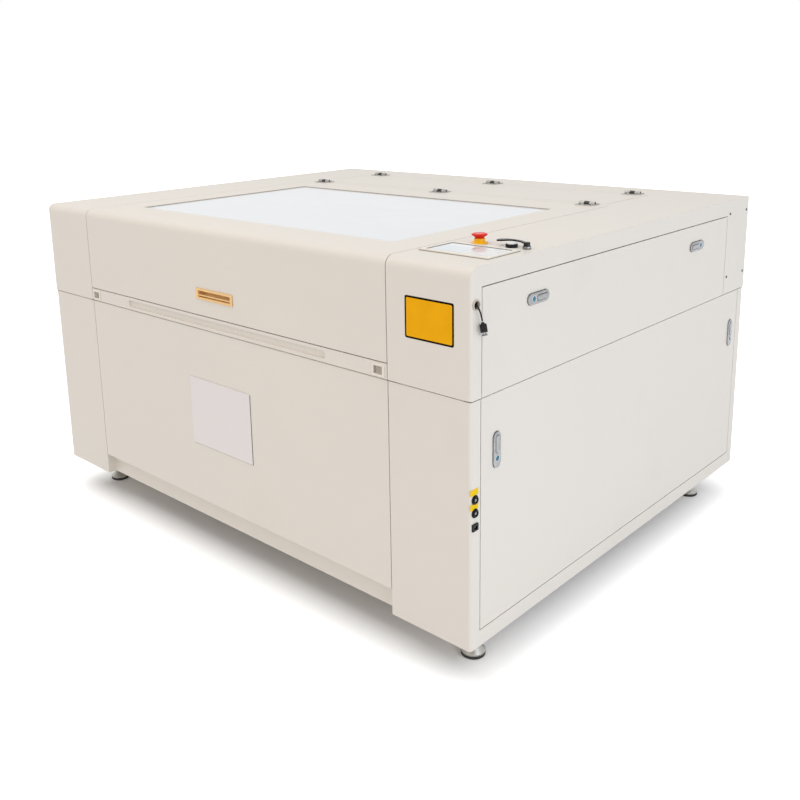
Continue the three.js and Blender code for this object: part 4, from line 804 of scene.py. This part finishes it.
def makeHinges():
    half, centreHalf, knuckle = hinge["half"], hinge["centreHalf"], hinge["knuckle"]
    bottom = hinge["top"] + hinge["gap"]
    top = hinge["top"] + hinge["leaf"]
    pinRadius, pinHalf = hinge["pin"]
    for row, axisY, spacing, movingBody in hinge["rows"]:
        near = axisY + knuckle + hinge["gap"]
        far = axisY + knuckle + hinge["leafDepth"]
        movingMiddle = axisY - knuckle - hinge["leafDepth"] / 2
        for place, x in (("left", -spacing), ("centre", 0), ("right", spacing)):
            bm = bmesh.new()
            addPlate(
                bm, (x - half, near, bottom), (x + half, far, top), 2, hinge["leafCorner"], 0.0005,
            )
            addBox(bm, (x - centreHalf, axisY, bottom), (x + centreHalf, near + 0.003, top))
            leaf = makePiece(bm, f"{row}Hinge_{place}", "hingeSteel", "zinc_steel")
            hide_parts(f"{row}_hinge_{place}")
            bm = bmesh.new()
            for radius, reach, steps in ((knuckle, centreHalf, 28), (pinRadius, pinHalf, 20)):
                addBar(bm, "x", radius, (x - reach, axisY, hinge["axis"]), 2 * reach, steps)
            makePiece(bm, f"{row}Knuckle_{place}", "darkSteel", "zinc_steel")
            leaves = (("Hinge", (near + far) / 2, "cabinet"), ("Leaf", movingMiddle, movingBody))
            for part, y, body in leaves:
                spots = [(x + share * half, y, top) for share in hinge["screwShares"]]
                name = f"{row}{part}Screws_{place}"
                makeScrews(name, "black", body, "z", spots, hinge["screw"])


makeHinges()
print("hinges made")


# Lid: the pull and the slim gasket round the window

pull = {
    "barLow": (-0.0715, -0.7505, 0.8335),
    "barHigh": (0.0795, -0.7462, 0.838),
    "barCorner": 0.0009,
}
gasket = {
    "low": (-0.56, -0.6, 1.0332),
    "high": (0.56, 0.125, 1.0352),
    "width": 0.002,
}

dressNode("lid_pull", "pullCup", "brass", "brass", 0.0009, 3)
pullBar = (pull["barLow"], pull["barHigh"], 0, pull["barCorner"], 0, 3)
makeFrom(addPlate, pullBar, "pullBar", "brass", "brass", "lid")
gasketRing = (gasket["low"], gasket["high"], gasket["width"])
makeFrom(addFrame, gasketRing, "windowGasket", "gasket", "black_plastic", "lid")
print("lid dressed")


# Paddle latches of the side doors

latch = {
    "proud": 0.004,
    "lens": 0.0065,
    "lensOffset": 0.021,
    "lensGap": 0.0004,
    "lensRim": 0.0012,
    "well": (0.047, 0.0165),
    "pad": (0.0435, 0.0124),
    "padOffset": 0.0145,
    "padRise": 0.0016,
    "padDome": ((0.5, 0), (0.78, 0.0008), (0.95, 0.0022), (1, 0.0045)),  # share of rise, less wide
    "places": (
        # place, face, y, z, the way it lies, the end that has the button
        ("upper_front", 0.92, -0.492, 0.925, "along", -1),
        ("upper_rear", 0.92, 0.363, 0.925, "along", 1),
        ("lower_front", 0.918, -0.651, 0.591, "up", -1),
        ("lower_rear", 0.918, 0.656, 0.591, "up", -1),
    ),
}


def makeLatches():
    padLength, padWidth = latch["pad"]
    wellLength, wellWidth = latch["well"]
    rise, r = latch["padRise"], latch["lens"]
    near = r + latch["lensGap"]
    far = near + latch["lensRim"]
    lens = [(0, -0.01), (r, -0.01), (r, 0.0002), (r * 0.93, 0.0007), (r * 0.75, 0.001), (0, 0.001)]
    rim = [
        (near, -0.0006), (far, -0.0006), (far, 0.0002), (far - 0.0003, 0.0005),
        (near + 0.0003, 0.0005), (near, 0.0002),
    ]
    for place, face, y, z, way, lensSide in latch["places"]:
        body = f"{place}_paddle"
        dressNode(f"{place}_latch_paddle", f"{place}Paddle", "satin", "chrome", 0.0016, 4)
        outer = face + latch["proud"]
        shift = -lensSide * latch["padOffset"]
        # the dark plate round the pad stands in for the groove's shade: painted shade
        well = [
            (outer - 0.0008, wellLength, wellWidth, shift),
            (outer + 0.00005, wellLength, wellWidth, shift),
            (outer + 0.00015, wellLength - 0.0003, wellWidth - 0.0003, shift),
        ]
        makeFrom(addSlotShell, (way, (y, z), well), f"{place}Well", "well", "chrome", body)
        pad = [(outer - 0.0006, padLength, padWidth, shift)] + [
            (outer + rise * share, padLength - less, padWidth - less, shift)
            for share, less in latch["padDome"]
        ]
        makeFrom(addSlotShell, (way, (y, z), pad), f"{place}Pad", "satin", "chrome", body, 50)
        offset = lensSide * latch["lensOffset"]
        centre = (outer, y + offset, z) if way == "along" else (outer, y, z + offset)
        labels = (f"{place}Lens", "teal", "blue_plastic", f"{place}_button")
        piece = makeFrom(addTurned, ("x", lens, centre, 32), *labels)
        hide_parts(f"{place}_latch_button")
        makeFrom(addTurned, ("x", rim, centre, 32), f"{place}LensRim", "chrome", "chrome", body)


makeLatches()
print("latches made")


# Slide latches of the flap: a cream bezel and a ribbed grey thumb

slide = {
    "x": 0.64,
    "z": 0.75275,
    "face": -0.75,
    "border": 0.0065,
    "opening": (0.028, 0.02),
    "proud": 0.0025,
    "corner": 0.0035,
    "rim": 0.0007,
    "thumbInset": 0.0098,  # from the opening's outer end to the thumb's middle
    "ribs": (-0.0052, 0, 0.0052),
    "ribSize": (0.0026, 0.0144),
}


def makeSlideLatches():
    border = slide["border"]
    openWidth, openHeight = slide["opening"]
    outerHalf = openWidth / 2 + border
    tall = openHeight / 2 + border
    ribWidth, ribHeight = slide["ribSize"]
    for place, side in (("left", -1), ("right", 1)):
        x, z = side * slide["x"], slide["z"]
        bm = bmesh.new()
        addFrame(
            bm, (x - outerHalf, slide["face"] - slide["proud"], z - tall),
            (x + outerHalf, slide["face"], z + tall), border, 1,
        )
        corners = [
            e for e in edgesAlong(bm, 1) if abs(abs(e.verts[0].co.x - x) - outerHalf) < tiny
        ]
        softenEdges(bm, corners, slide["corner"], 5)
        softenEdges(bm, squareEdges(bm), slide["rim"], 3)
        makePiece(bm, f"slideBezel_{place}", "creamPlastic", "white_plastic", "front_flap")
        dressNode(f"flap_latch_{place}", f"slideThumb_{place}", "grey", "grey_plastic", 0.0004)
        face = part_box(f"flap_latch_{place}")[0].y
        middle = side * (slide["x"] + openWidth / 2 - slide["thumbInset"])
        bm = bmesh.new()
        for shift in slide["ribs"]:
            spot = (middle + shift, face - 0.00005, z)
            addPlate(bm, *around(spot, (ribWidth, 0.0013, ribHeight)), 1, 0.0008, 0, 3)
        makePiece(bm, f"slideRibs_{place}", "grey", "grey_plastic", f"{place}_flap_latch")


makeSlideLatches()
print("slide latches made")


# Control panel: a pale membrane with a small display and blank keys

panel = {
    "low": (0.6965, -0.640, 1.0378),
    "high": (0.8795, -0.534, 1.0383),
    "corner": 0.003,
    "edgeLine": 0.0018,
    "edgeRise": 0.0006,
    # a dark ring just outside the frame: painted contact shadow
    "shadowOutline": ((0.6858, -0.6507, 1.0361), (0.8902, -0.5233, 1.0368)),
    "shadowOutlineWidth": 0.006,
    "display": ((0.706, -0.628, 1.0382), (0.792, -0.562, 1.0386)),
    "keyStart": (0.806, -0.622, 1.03845),
    "keyPitch": (0.0185, 0.0172),
    "keySize": (0.0145, 0.0125, 0.0005),
    "keyCount": (4, 5),
    "keyCorner": 0.002,
}


def makePanel():
    dressNode("control_panel", "panelFrame", "creamPlastic", "alloy", 0.0007)
    low, high = panel["low"], panel["high"]
    raised = (*high[:2], high[2] + panel["edgeRise"])
    for shape, sizes, name, finish, slotName in (
        (addPlate, (low, high, 2, panel["corner"]), "panelMembrane", "membrane", "white_plastic"),
        (addFrame, (low, raised, panel["edgeLine"]), "panelEdgeLine", "rubber", "black_plastic"),
        # the dark ring round the frame is a painted contact shadow
        (addFrame, (*panel["shadowOutline"], panel["shadowOutlineWidth"]), "panelSeal", "rubber", "black_plastic"),
        (addPlate, (*panel["display"], 2, panel["keyCorner"]), "panelDisplay", "display", "window"),
    ):
        makeFrom(shape, sizes, name, finish, slotName)
    startX, startY, startZ = panel["keyStart"]
    pitchX, pitchY = panel["keyPitch"]
    bm = bmesh.new()
    for i in range(panel["keyCount"][0]):
        for j in range(panel["keyCount"][1]):
            spot = (startX + i * pitchX, startY + j * pitchY, startZ)
            addPlate(bm, *around(spot, panel["keySize"]), 2, panel["keyCorner"], 0, 4)
    makePiece(bm, "panelKeys", "white", "white_plastic")


makePanel()
print("control panel made")


# Emergency stop, start button and selector

switches = {
    "stop": (0.747, -0.491, 1.0363),
    "start": (0.841, -0.489, 1.0363),
    "selector": (0.8845, -0.489, 1.0363),
    "turned": (
        # place, piece, finish, body, slot, node that it replaces, steps, radius and height
        ("stop", "stopCollar", "yellow", "cabinet", "yellow_plastic", "estop_collar", 48, (
            (0.0073, -0.026), (0.011, -0.026), (0.011, 0), (0.021, 0), (0.021, 0.0022),
            (0.0205, 0.0029), (0.0148, 0.003), (0.0139, 0.0038), (0.0136, 0.005),
            (0.0136, 0.0116), (0.0133, 0.0122), (0.0129, 0.0125), (0.0126, 0.0125),
            (0.0123, 0.0122), (0.0123, 0.0065), (0.0073, 0.0065),
        )),
        ("stop", "stopHead", "red", "emergency_stop", "red_plastic", "estop_button", 64, (
            (0, -0.026), (0.007, -0.026), (0.007, 0.0113), (0.012, 0.0113), (0.012, 0.017),
            (0.014, 0.017), (0.0185, 0.0196), (0.0197, 0.0206), (0.02, 0.0215), (0.0199, 0.0223),
            (0.0192, 0.0233), (0.0178, 0.0242), (0.016, 0.0247), (0.012, 0.0247),
            (0.0112, 0.0242), (0.006, 0.0238), (0, 0.0237),
        )),
        # a lighter red disc on the head's top: painted highlight
        ("stop", "stopHeadDisc", "redTop", "emergency_stop", "red_plastic", None, 48, (
            (0, 0.0236), (0.0108, 0.0236), (0.0108, 0.0241), (0.0104, 0.0244), (0, 0.0244),
        )),
        ("start", "startRing", "black", "cabinet", "black_plastic", "start_ring", 48, (
            (0.0073, -0.026), (0.011, -0.026), (0.011, 0), (0.0148, 0), (0.0148, 0.0066),
            (0.0144, 0.0076), (0.0137, 0.0082), (0.0125, 0.0082), (0.0121, 0.0077),
            (0.0121, 0.002), (0.0073, 0.002),
        )),
        ("start", "startCap", "white", "start_button", "white_plastic", "start_cap", 48, (
            (0, -0.026), (0.007, -0.026), (0.007, 0.0043), (0.0118, 0.0043), (0.0118, 0.0106),
            (0.0114, 0.0116), (0.0105, 0.0122), (0, 0.0124),
        )),
        ("selector", "selectorHub", "gloss", "selector", "black_plastic", "selector_lever", 48, (
            (0, -0.026), (0.007, -0.026), (0.007, 0), (0.0092, 0.0002), (0.0092, 0.0068),
            (0.008, 0.0072), (0.008, 0.0153), (0.0076, 0.0161), (0.0068, 0.0165), (0, 0.0165),
        )),
        ("selector", "selectorSleeve", "satin", "cabinet", "chrome", None, 48, (
            (0.0093, 0), (0.0098, 0), (0.01, 0.0006), (0.01, 0.0056), (0.0098, 0.0065),
            (0.0093, 0.0065),
        )),
    ),
}
lever = {
    "reach": 0.088,
    "low": 0.0108,
    "high": 0.0147,
    "bend": 0.005,
    "rim": 0.0009,
    # outline from the hub, across and along, as shares of the reach
    "outlineShares": [
        (0, -0.045), (-0.182, 0.068), (-0.352, 0.176), (-0.591, 0.216), (-0.705, 0.193),
        (-0.818, 0.045), (-0.955, -0.08), (-1, 0.045), (-0.977, 0.182), (-0.841, 0.284),
        (-0.602, 0.307), (-0.33, 0.256), (-0.136, 0.148), (0, 0.068),
    ],
}


def addLever(bm, x, y, deck):
    outline = [
        bm.verts.new((x + a * lever["reach"], y + b * lever["reach"], deck + lever["low"]))
        for a, b in lever["outlineShares"]
    ]
    raised = bmesh.ops.extrude_face_region(bm, geom=[bm.faces.new(outline)])["geom"]
    verts = [v for v in raised if isinstance(v, bmesh.types.BMVert)]
    bmesh.ops.translate(bm, verts=verts, vec=(0, 0, lever["high"] - lever["low"]))
    softenEdges(bm, edgesAlong(bm, 2), lever["bend"], 4)
    softenEdges(bm, squareEdges(bm), lever["rim"], 3)
    # the tight bends leave the rim no width, so its points are welded
    bmesh.ops.remove_doubles(bm, verts=bm.verts, dist=2 * tiny)


def makeSwitches():
    for place, name, finish, body, slotName, node, steps, profile in switches["turned"]:
        sizes = ("z", profile, switches[place], steps)
        piece = makeFrom(addTurned, sizes, name, finish, slotName, body)
        if node:
            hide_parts(node)
    sizes = switches["selector"]
    makeFrom(addLever, sizes, "selectorLever", "gloss", "black_plastic", "selector", 50)


makeSwitches()
print("switches made")


# Plates on the front, the tags by the sockets and the strip in the seam under the flap

plates = {
    "flat": (
        # piece, finish, body, slot, then low, high, corner and its steps
        ("cardPlate", "card", "front_door", "white_plastic",
         (-0.142, -0.75, 0.364), (0.138, -0.7486, 0.576), 0.002, 3),
        # a dark plate that shows at the card's right and bottom edges: painted shadow
        ("cardBacking", "darkSteel", "front_door", "zinc_steel",
         (-0.1406, -0.7488, 0.3626), (0.1394, -0.7481, 0.5746), 0.002, 3),
        ("amberBorder", "printBlack", "cabinet", "black_plastic",
         (0.728, -0.7506, 0.850), (0.872, -0.7501, 0.951), 0.005, 6),
        ("amberPlate", "amber", "cabinet", "yellow_plastic",
         (0.7325, -0.7508, 0.8545), (0.8675, -0.7503, 0.9465), 0.0035, 6),
    ),
    "tags": ((0.9184, -0.735, 0.513), (0.9184, -0.735, 0.4775)),
    "tagSize": (0.0004, 0.03, 0.015),
    "tagCorner": 0.001,
    "seamStrip": ((-0.66, -0.745, 0.7303), (0.66, -0.741, 0.7327)),
    "seamEdge": 0.0005,
}


def makePlates():
    for name, finish, body, slotName, low, high, corner, steps in plates["flat"]:
        makeFrom(addPlate, (low, high, 1, corner, 0, steps), name, finish, slotName, body)
    bm = bmesh.new()
    for centre in plates["tags"]:
        addPlate(bm, *around(centre, plates["tagSize"]), 0, plates["tagCorner"], 0, 3)
    makePiece(bm, "socketTags", "tagYellow", "yellow_plastic")
    bm = bmesh.new()
    addBox(bm, *plates["seamStrip"])
    softenEdges(bm, bm.edges[:], plates["seamEdge"])
    makePiece(bm, "doorSeamStrip", "cream", "cream_paint", "front_door")


makePlates()
print("plates made")


# Sockets: threaded rings over the frame's sockets, their contacts and the square one's pins

socket = {
    "x": 0.922,
    "y": -0.733,
    "rounds": (0.494, 0.461),
    "radius": 0.009,
    "bore": 0.0056,
    "core": 0.0036,
    "square": 0.426,
    "pinPitch": 0.0024,
    "pinSize": (0.0045, 0.0011, 0.0011),
    "pinDepth": 0.00525,
}


def makeSockets():
    x, y, r = socket["x"], socket["y"], socket["radius"]
    bore, core, pitch = socket["bore"], socket["core"], socket["pinPitch"]
    nut = [
        (bore, -0.0005), (r * 1.28, -0.0038), (r * 1.28, -0.0022), (r * 1.2, -0.0016),
        (r * 0.98, -0.0015), (r * 0.98, 0.0009), (r * 0.9, 0.0016), (bore * 1.12, 0.0016),
        (bore, 0.001),
    ]
    contact = [
        (0, -0.007), (core, -0.007), (core, -0.0008), (core * 0.86, -0.0002),
        (core * 0.5, -0.0002), (core * 0.4, -0.0012), (0, -0.0012),
    ]
    nuts = bmesh.new()
    contacts = bmesh.new()
    for z in socket["rounds"]:
        addTurned(nuts, "x", nut, (x, y, z), 32)
        addTurned(contacts, "x", contact, (x, y, z), 28)
    for row in (-0.5, 0.5):
        for k in (-1, 0, 1):
            spot = (x - socket["pinDepth"], y + k * pitch, socket["square"] + row * pitch)
            addBox(contacts, *around(spot, socket["pinSize"]))
    makePiece(nuts, "socketNuts", "black", "black_plastic")
    makePiece(contacts, "socketContacts", "satin", "zinc_steel")


makeSockets()


# Case screws on the right side

caseScrews = {
    "places": [(0.9203, y, z) for z in (0.994, 0.789) for y in (0.600, 0.727)],
    "size": (0.0042, 0.0016),
}

makeScrews("caseScrews", "darkSteel", "cabinet", "x", caseScrews["places"], caseScrews["size"])
print("sockets and screws made")


# Drive fittings that the frame leaves out: pulleys, belts and front idlers

drive = {
    "y": 0.262,
    "z": 0.7928,
    "pulleyX": 0.7157,
    "pulleyRadius": 0.0127,
    "flangeRadius": 0.015,
    "halfWidth": 0.009,
    "flange": 0.002,
    "chamfer": 0.0006,
    "shaftRadius": 0.0059,
    "idlerY": -0.66,
    "idlerBore": 0.004,
    "belt": (0.0045, 0.0015),  # half width, thickness
    "beltGap": 0.0002,
    "steps": 48,
    "bracket": (0.004, 0.017, 0.03),
    "bracketGap": 0.0003,
    "beamBelt": ((-0.74, 0.222, 0.8815), (0.77, 0.234, 0.8835)),
}


def addPulley(bm, centre, bore):
    half, flange, chamfer = drive["halfWidth"], drive["flange"], drive["chamfer"]
    groove, rim = drive["pulleyRadius"], drive["flangeRadius"]
    profile = [
        (bore, -half), (rim - chamfer, -half), (rim, -half + chamfer), (rim, -half + flange),
        (groove, -half + flange), (groove, half - flange), (rim, half - flange),
        (rim, half - chamfer), (rim - chamfer, half), (bore, half),
    ]
    addTurned(bm, "x", profile, centre, drive["steps"])


def makeDrive():
    turning, idlers, brackets, belts = (bmesh.new() for _ in range(4))
    y, z, idlerY = drive["y"], drive["z"], drive["idlerY"]
    beltHalf, thick = drive["belt"]
    inner = drive["pulleyRadius"] + drive["beltGap"]
    outer = inner + thick
    reach = drive["halfWidth"] + drive["bracketGap"]
    bracket = drive["bracket"]
    for side in (-1, 1):
        x = side * drive["pulleyX"]
        addPulley(turning, (x, y, z), drive["shaftRadius"])
        addPulley(idlers, (x, idlerY, z), drive["idlerBore"])
        pinStart = (x - reach - 0.001, idlerY, z)
        addBar(brackets, "x", drive["idlerBore"] - 0.0001, pinStart, 2 * reach + 0.002, 20)
        spot = (x - side * (reach + bracket[0] / 2), idlerY, z)
        addPlate(brackets, *around(spot, bracket), 0, 0.003)
        rings = [
            (x + way * beltHalf, y - idlerY + 2 * radius, 2 * radius, 0)
            for way, radius in ((-1, inner), (-1, outer), (1, outer), (1, inner))
        ]
        addSlotShell(belts, "along", ((y + idlerY) / 2, z), rings, True, 40)
    makePiece(turning, "drivePulleys", "zinc", "zinc_steel", "y_drive")
    makePiece(idlers, "frontIdlers", "zinc", "zinc_steel")
    makePiece(brackets, "idlerBrackets", "darkSteel", "zinc_steel")
    makePiece(belts, "driveBelts", "rubber", "black_plastic")
    sizes = (*drive["beamBelt"], 2, 0.001)
    makeFrom(addPlate, sizes, "beamBelt", "rubber", "black_plastic", "gantry")


makeDrive()
print("drive fittings made")


# First mirror on its post behind the left rail, and the duct flange on the back

fittings = {
    "mirror": (-0.779, 0.45, 0.9),
    "mirrorRadius": 0.0125,
    "block": ((-0.015, -0.005, -0.021), (0.015, 0.005, 0.017)),
    "postBottom": 0.7355,
    "post": (0.006, 0.1445),  # radius, height
    "postFoot": ((0, 0), (0.02, 0), (0.02, 0.003), (0.0185, 0.0045), (0, 0.0045)),
    "duct": (-0.3, 0.748, 0.63),
    "ductRing": (0.0765, 0.094),
    "ductScrews": 6,
    "ductScrewRise": 0.0004,
    "ductScrew": (0.0034, 0.0012),
}


def makeMirror():
    x, y, z = fittings["mirror"]
    bottom = (x, y, fittings["postBottom"])
    radius, height = fittings["post"]
    bm = bmesh.new()
    addBar(bm, "z", radius, bottom, height)
    addTurned(bm, "z", fittings["postFoot"], bottom, 36)
    makePiece(bm, "mirrorPost", "zinc", "zinc_steel")
    turn = Matrix.Translation((x, y, z)) @ Matrix.Rotation(math.radians(45), 4, "Z")
    low, high = fittings["block"]
    bm = bmesh.new()
    addPlate(bm, low, high, 1, 0.003, 0.0008)
    bmesh.ops.transform(bm, matrix=turn, verts=bm.verts)
    makePiece(bm, "mirrorBlock", "darkSteel", "zinc_steel")
    r = fittings["mirrorRadius"]
    disc = [(0, -0.002), (r, -0.002), (r, 0.0012), (r - 0.0008, 0.002), (0, 0.002)]
    bm = bmesh.new()
    addTurned(bm, "y", disc, (0, low[1], 0), 40)
    bmesh.ops.transform(bm, matrix=turn, verts=bm.verts)
    makePiece(bm, "mirrorDisc", "brass", "zinc_steel")


def makeDuctFlange():
    x, y, z = fittings["duct"]
    near, far = fittings["ductRing"]
    ring = [
        (near, 0), (far, 0), (far, 0.001), (far - 0.0006, 0.0016), (near + 0.0006, 0.0016),
        (near, 0.001),
    ]
    sizes = ("y", ring, (x, y, z), 72)
    makeFrom(addTurned, sizes, "ductFlange", "hingeSteel", "zinc_steel")
    reach, count = (near + far) / 2, fittings["ductScrews"]
    angles = [math.radians(30 + 360 * k / count) for k in range(count)]
    face = y + fittings["ductScrewRise"]
    places = [(x + reach * math.cos(a), face, z + reach * math.sin(a)) for a in angles]
    makeScrews("ductScrews", "darkSteel", "cabinet", "y", places, fittings["ductScrew"])


makeMirror()
makeDuctFlange()
print("inner fittings made")


# Stage: a pale floor with a painted shade round the cabinet, a white surround and three soft lamps

studio = {
    "ambient": 0.62,
    "floorTone": tone(236, 236, 236),
    "floorRoughness": 0.9,
    "footprint": (0.8, 0.66, 0),
    # floor glow for camera rays: none at the footprint, full past the reach, a painted shade round
    # the cabinet
    "floorGlow": (0, 1),
    "paintedShadeReach": (0, 0.27),
    "lamps": (
        # name, place, aim, size, power, colour
        ("overhead", (-0.4, -1.7, 4.5), (0, 0, 0.6), 3.4, 60, (1, 0.965, 0.925)),
        ("front", (0.4, -4.6, 2.4), (0, 0, 0.5), 2.6, 15, (1, 0.68, 0.44)),
        ("side", (4.6, -1.0, 1.9), (0, 0, 0.5), 3.0, 58, (0.8, 0.88, 1)),
    ),
}


def backdropRays(tree):
    # rays that should see the plain white surround
    path = tree.nodes.new("ShaderNodeLightPath")
    total = path.outputs["Is Camera Ray"]
    for name in ("Is Glossy Ray", "Is Transmission Ray"):
        values = {0: total, 1: path.outputs[name]}
        total = addNode(tree, "ShaderNodeMath", values, operation="ADD", use_clamp=True).outputs[0]
    return total


def makeWorld():
    world = bpy.data.worlds.new("surround")
    bpy.context.scene.world = world
    world.use_nodes = True
    tree = world.node_tree
    background = tree.nodes["Background"]
    feed(tree, background.inputs["Color"], (1, 1, 1, 1))
    strength = mixed(tree, backdropRays(tree), studio["ambient"], 1)
    feed(tree, background.inputs["Strength"], strength)


def makeFloor():
    bm = bmesh.new()
    bmesh.ops.create_grid(bm, x_segments=1, y_segments=1, size=40)
    mesh = bpy.data.meshes.new("floor")
    bm.to_mesh(mesh)
    bm.free()
    floor = linked("floor", mesh)
    material = bpy.data.materials.new("floor")
    material.use_nodes = True
    tree = material.node_tree
    shader = tree.nodes["Principled BSDF"]
    place = tree.nodes.new("ShaderNodeTexCoord").outputs["Object"]
    # how far a spot lies outside the cabinet's footprint; the floor's glow is held back near it,
    # which paints a shade round the cabinet
    steps = (("ABSOLUTE", {}), ("SUBTRACT", {1: studio["footprint"]}), ("MAXIMUM", {1: (0, 0, 0)}))
    for operation, second in steps:
        values = {0: place, **second}
        step = addNode(tree, "ShaderNodeVectorMath", values, operation=operation)
        place = step.outputs["Vector"]
    far = addNode(tree, "ShaderNodeVectorMath", {0: place}, operation="LENGTH").outputs["Value"]
    glowPastShade = spread(tree, far, *studio["floorGlow"], *studio["paintedShadeReach"])
    values = {
        "Base Color": studio["floorTone"], "Roughness": studio["floorRoughness"],
        "Specular IOR Level": 0, "Emission Color": (1, 1, 1, 1),
        "Emission Strength": mixed(tree, backdropRays(tree), 0, glowPastShade),
    }
    for socket, value in values.items():
        feed(tree, shader.inputs[socket], value)
    mesh.materials.append(material)


def makeLamps():
    for name, place, aim, size, power, colour in studio["lamps"]:
        data = bpy.data.lights.new(name, "AREA")
        data.size = size
        data.energy = power
        data.color = colour
        lamp = linked(name, data)
        lamp.location = place
        lamp.rotation_euler = (Vector(aim) - Vector(place)).to_track_quat("-Z", "Y").to_euler()


makeWorld()
makeFloor()
makeLamps()
bpy.context.scene.view_settings.view_transform = "Standard"
print("studio made")
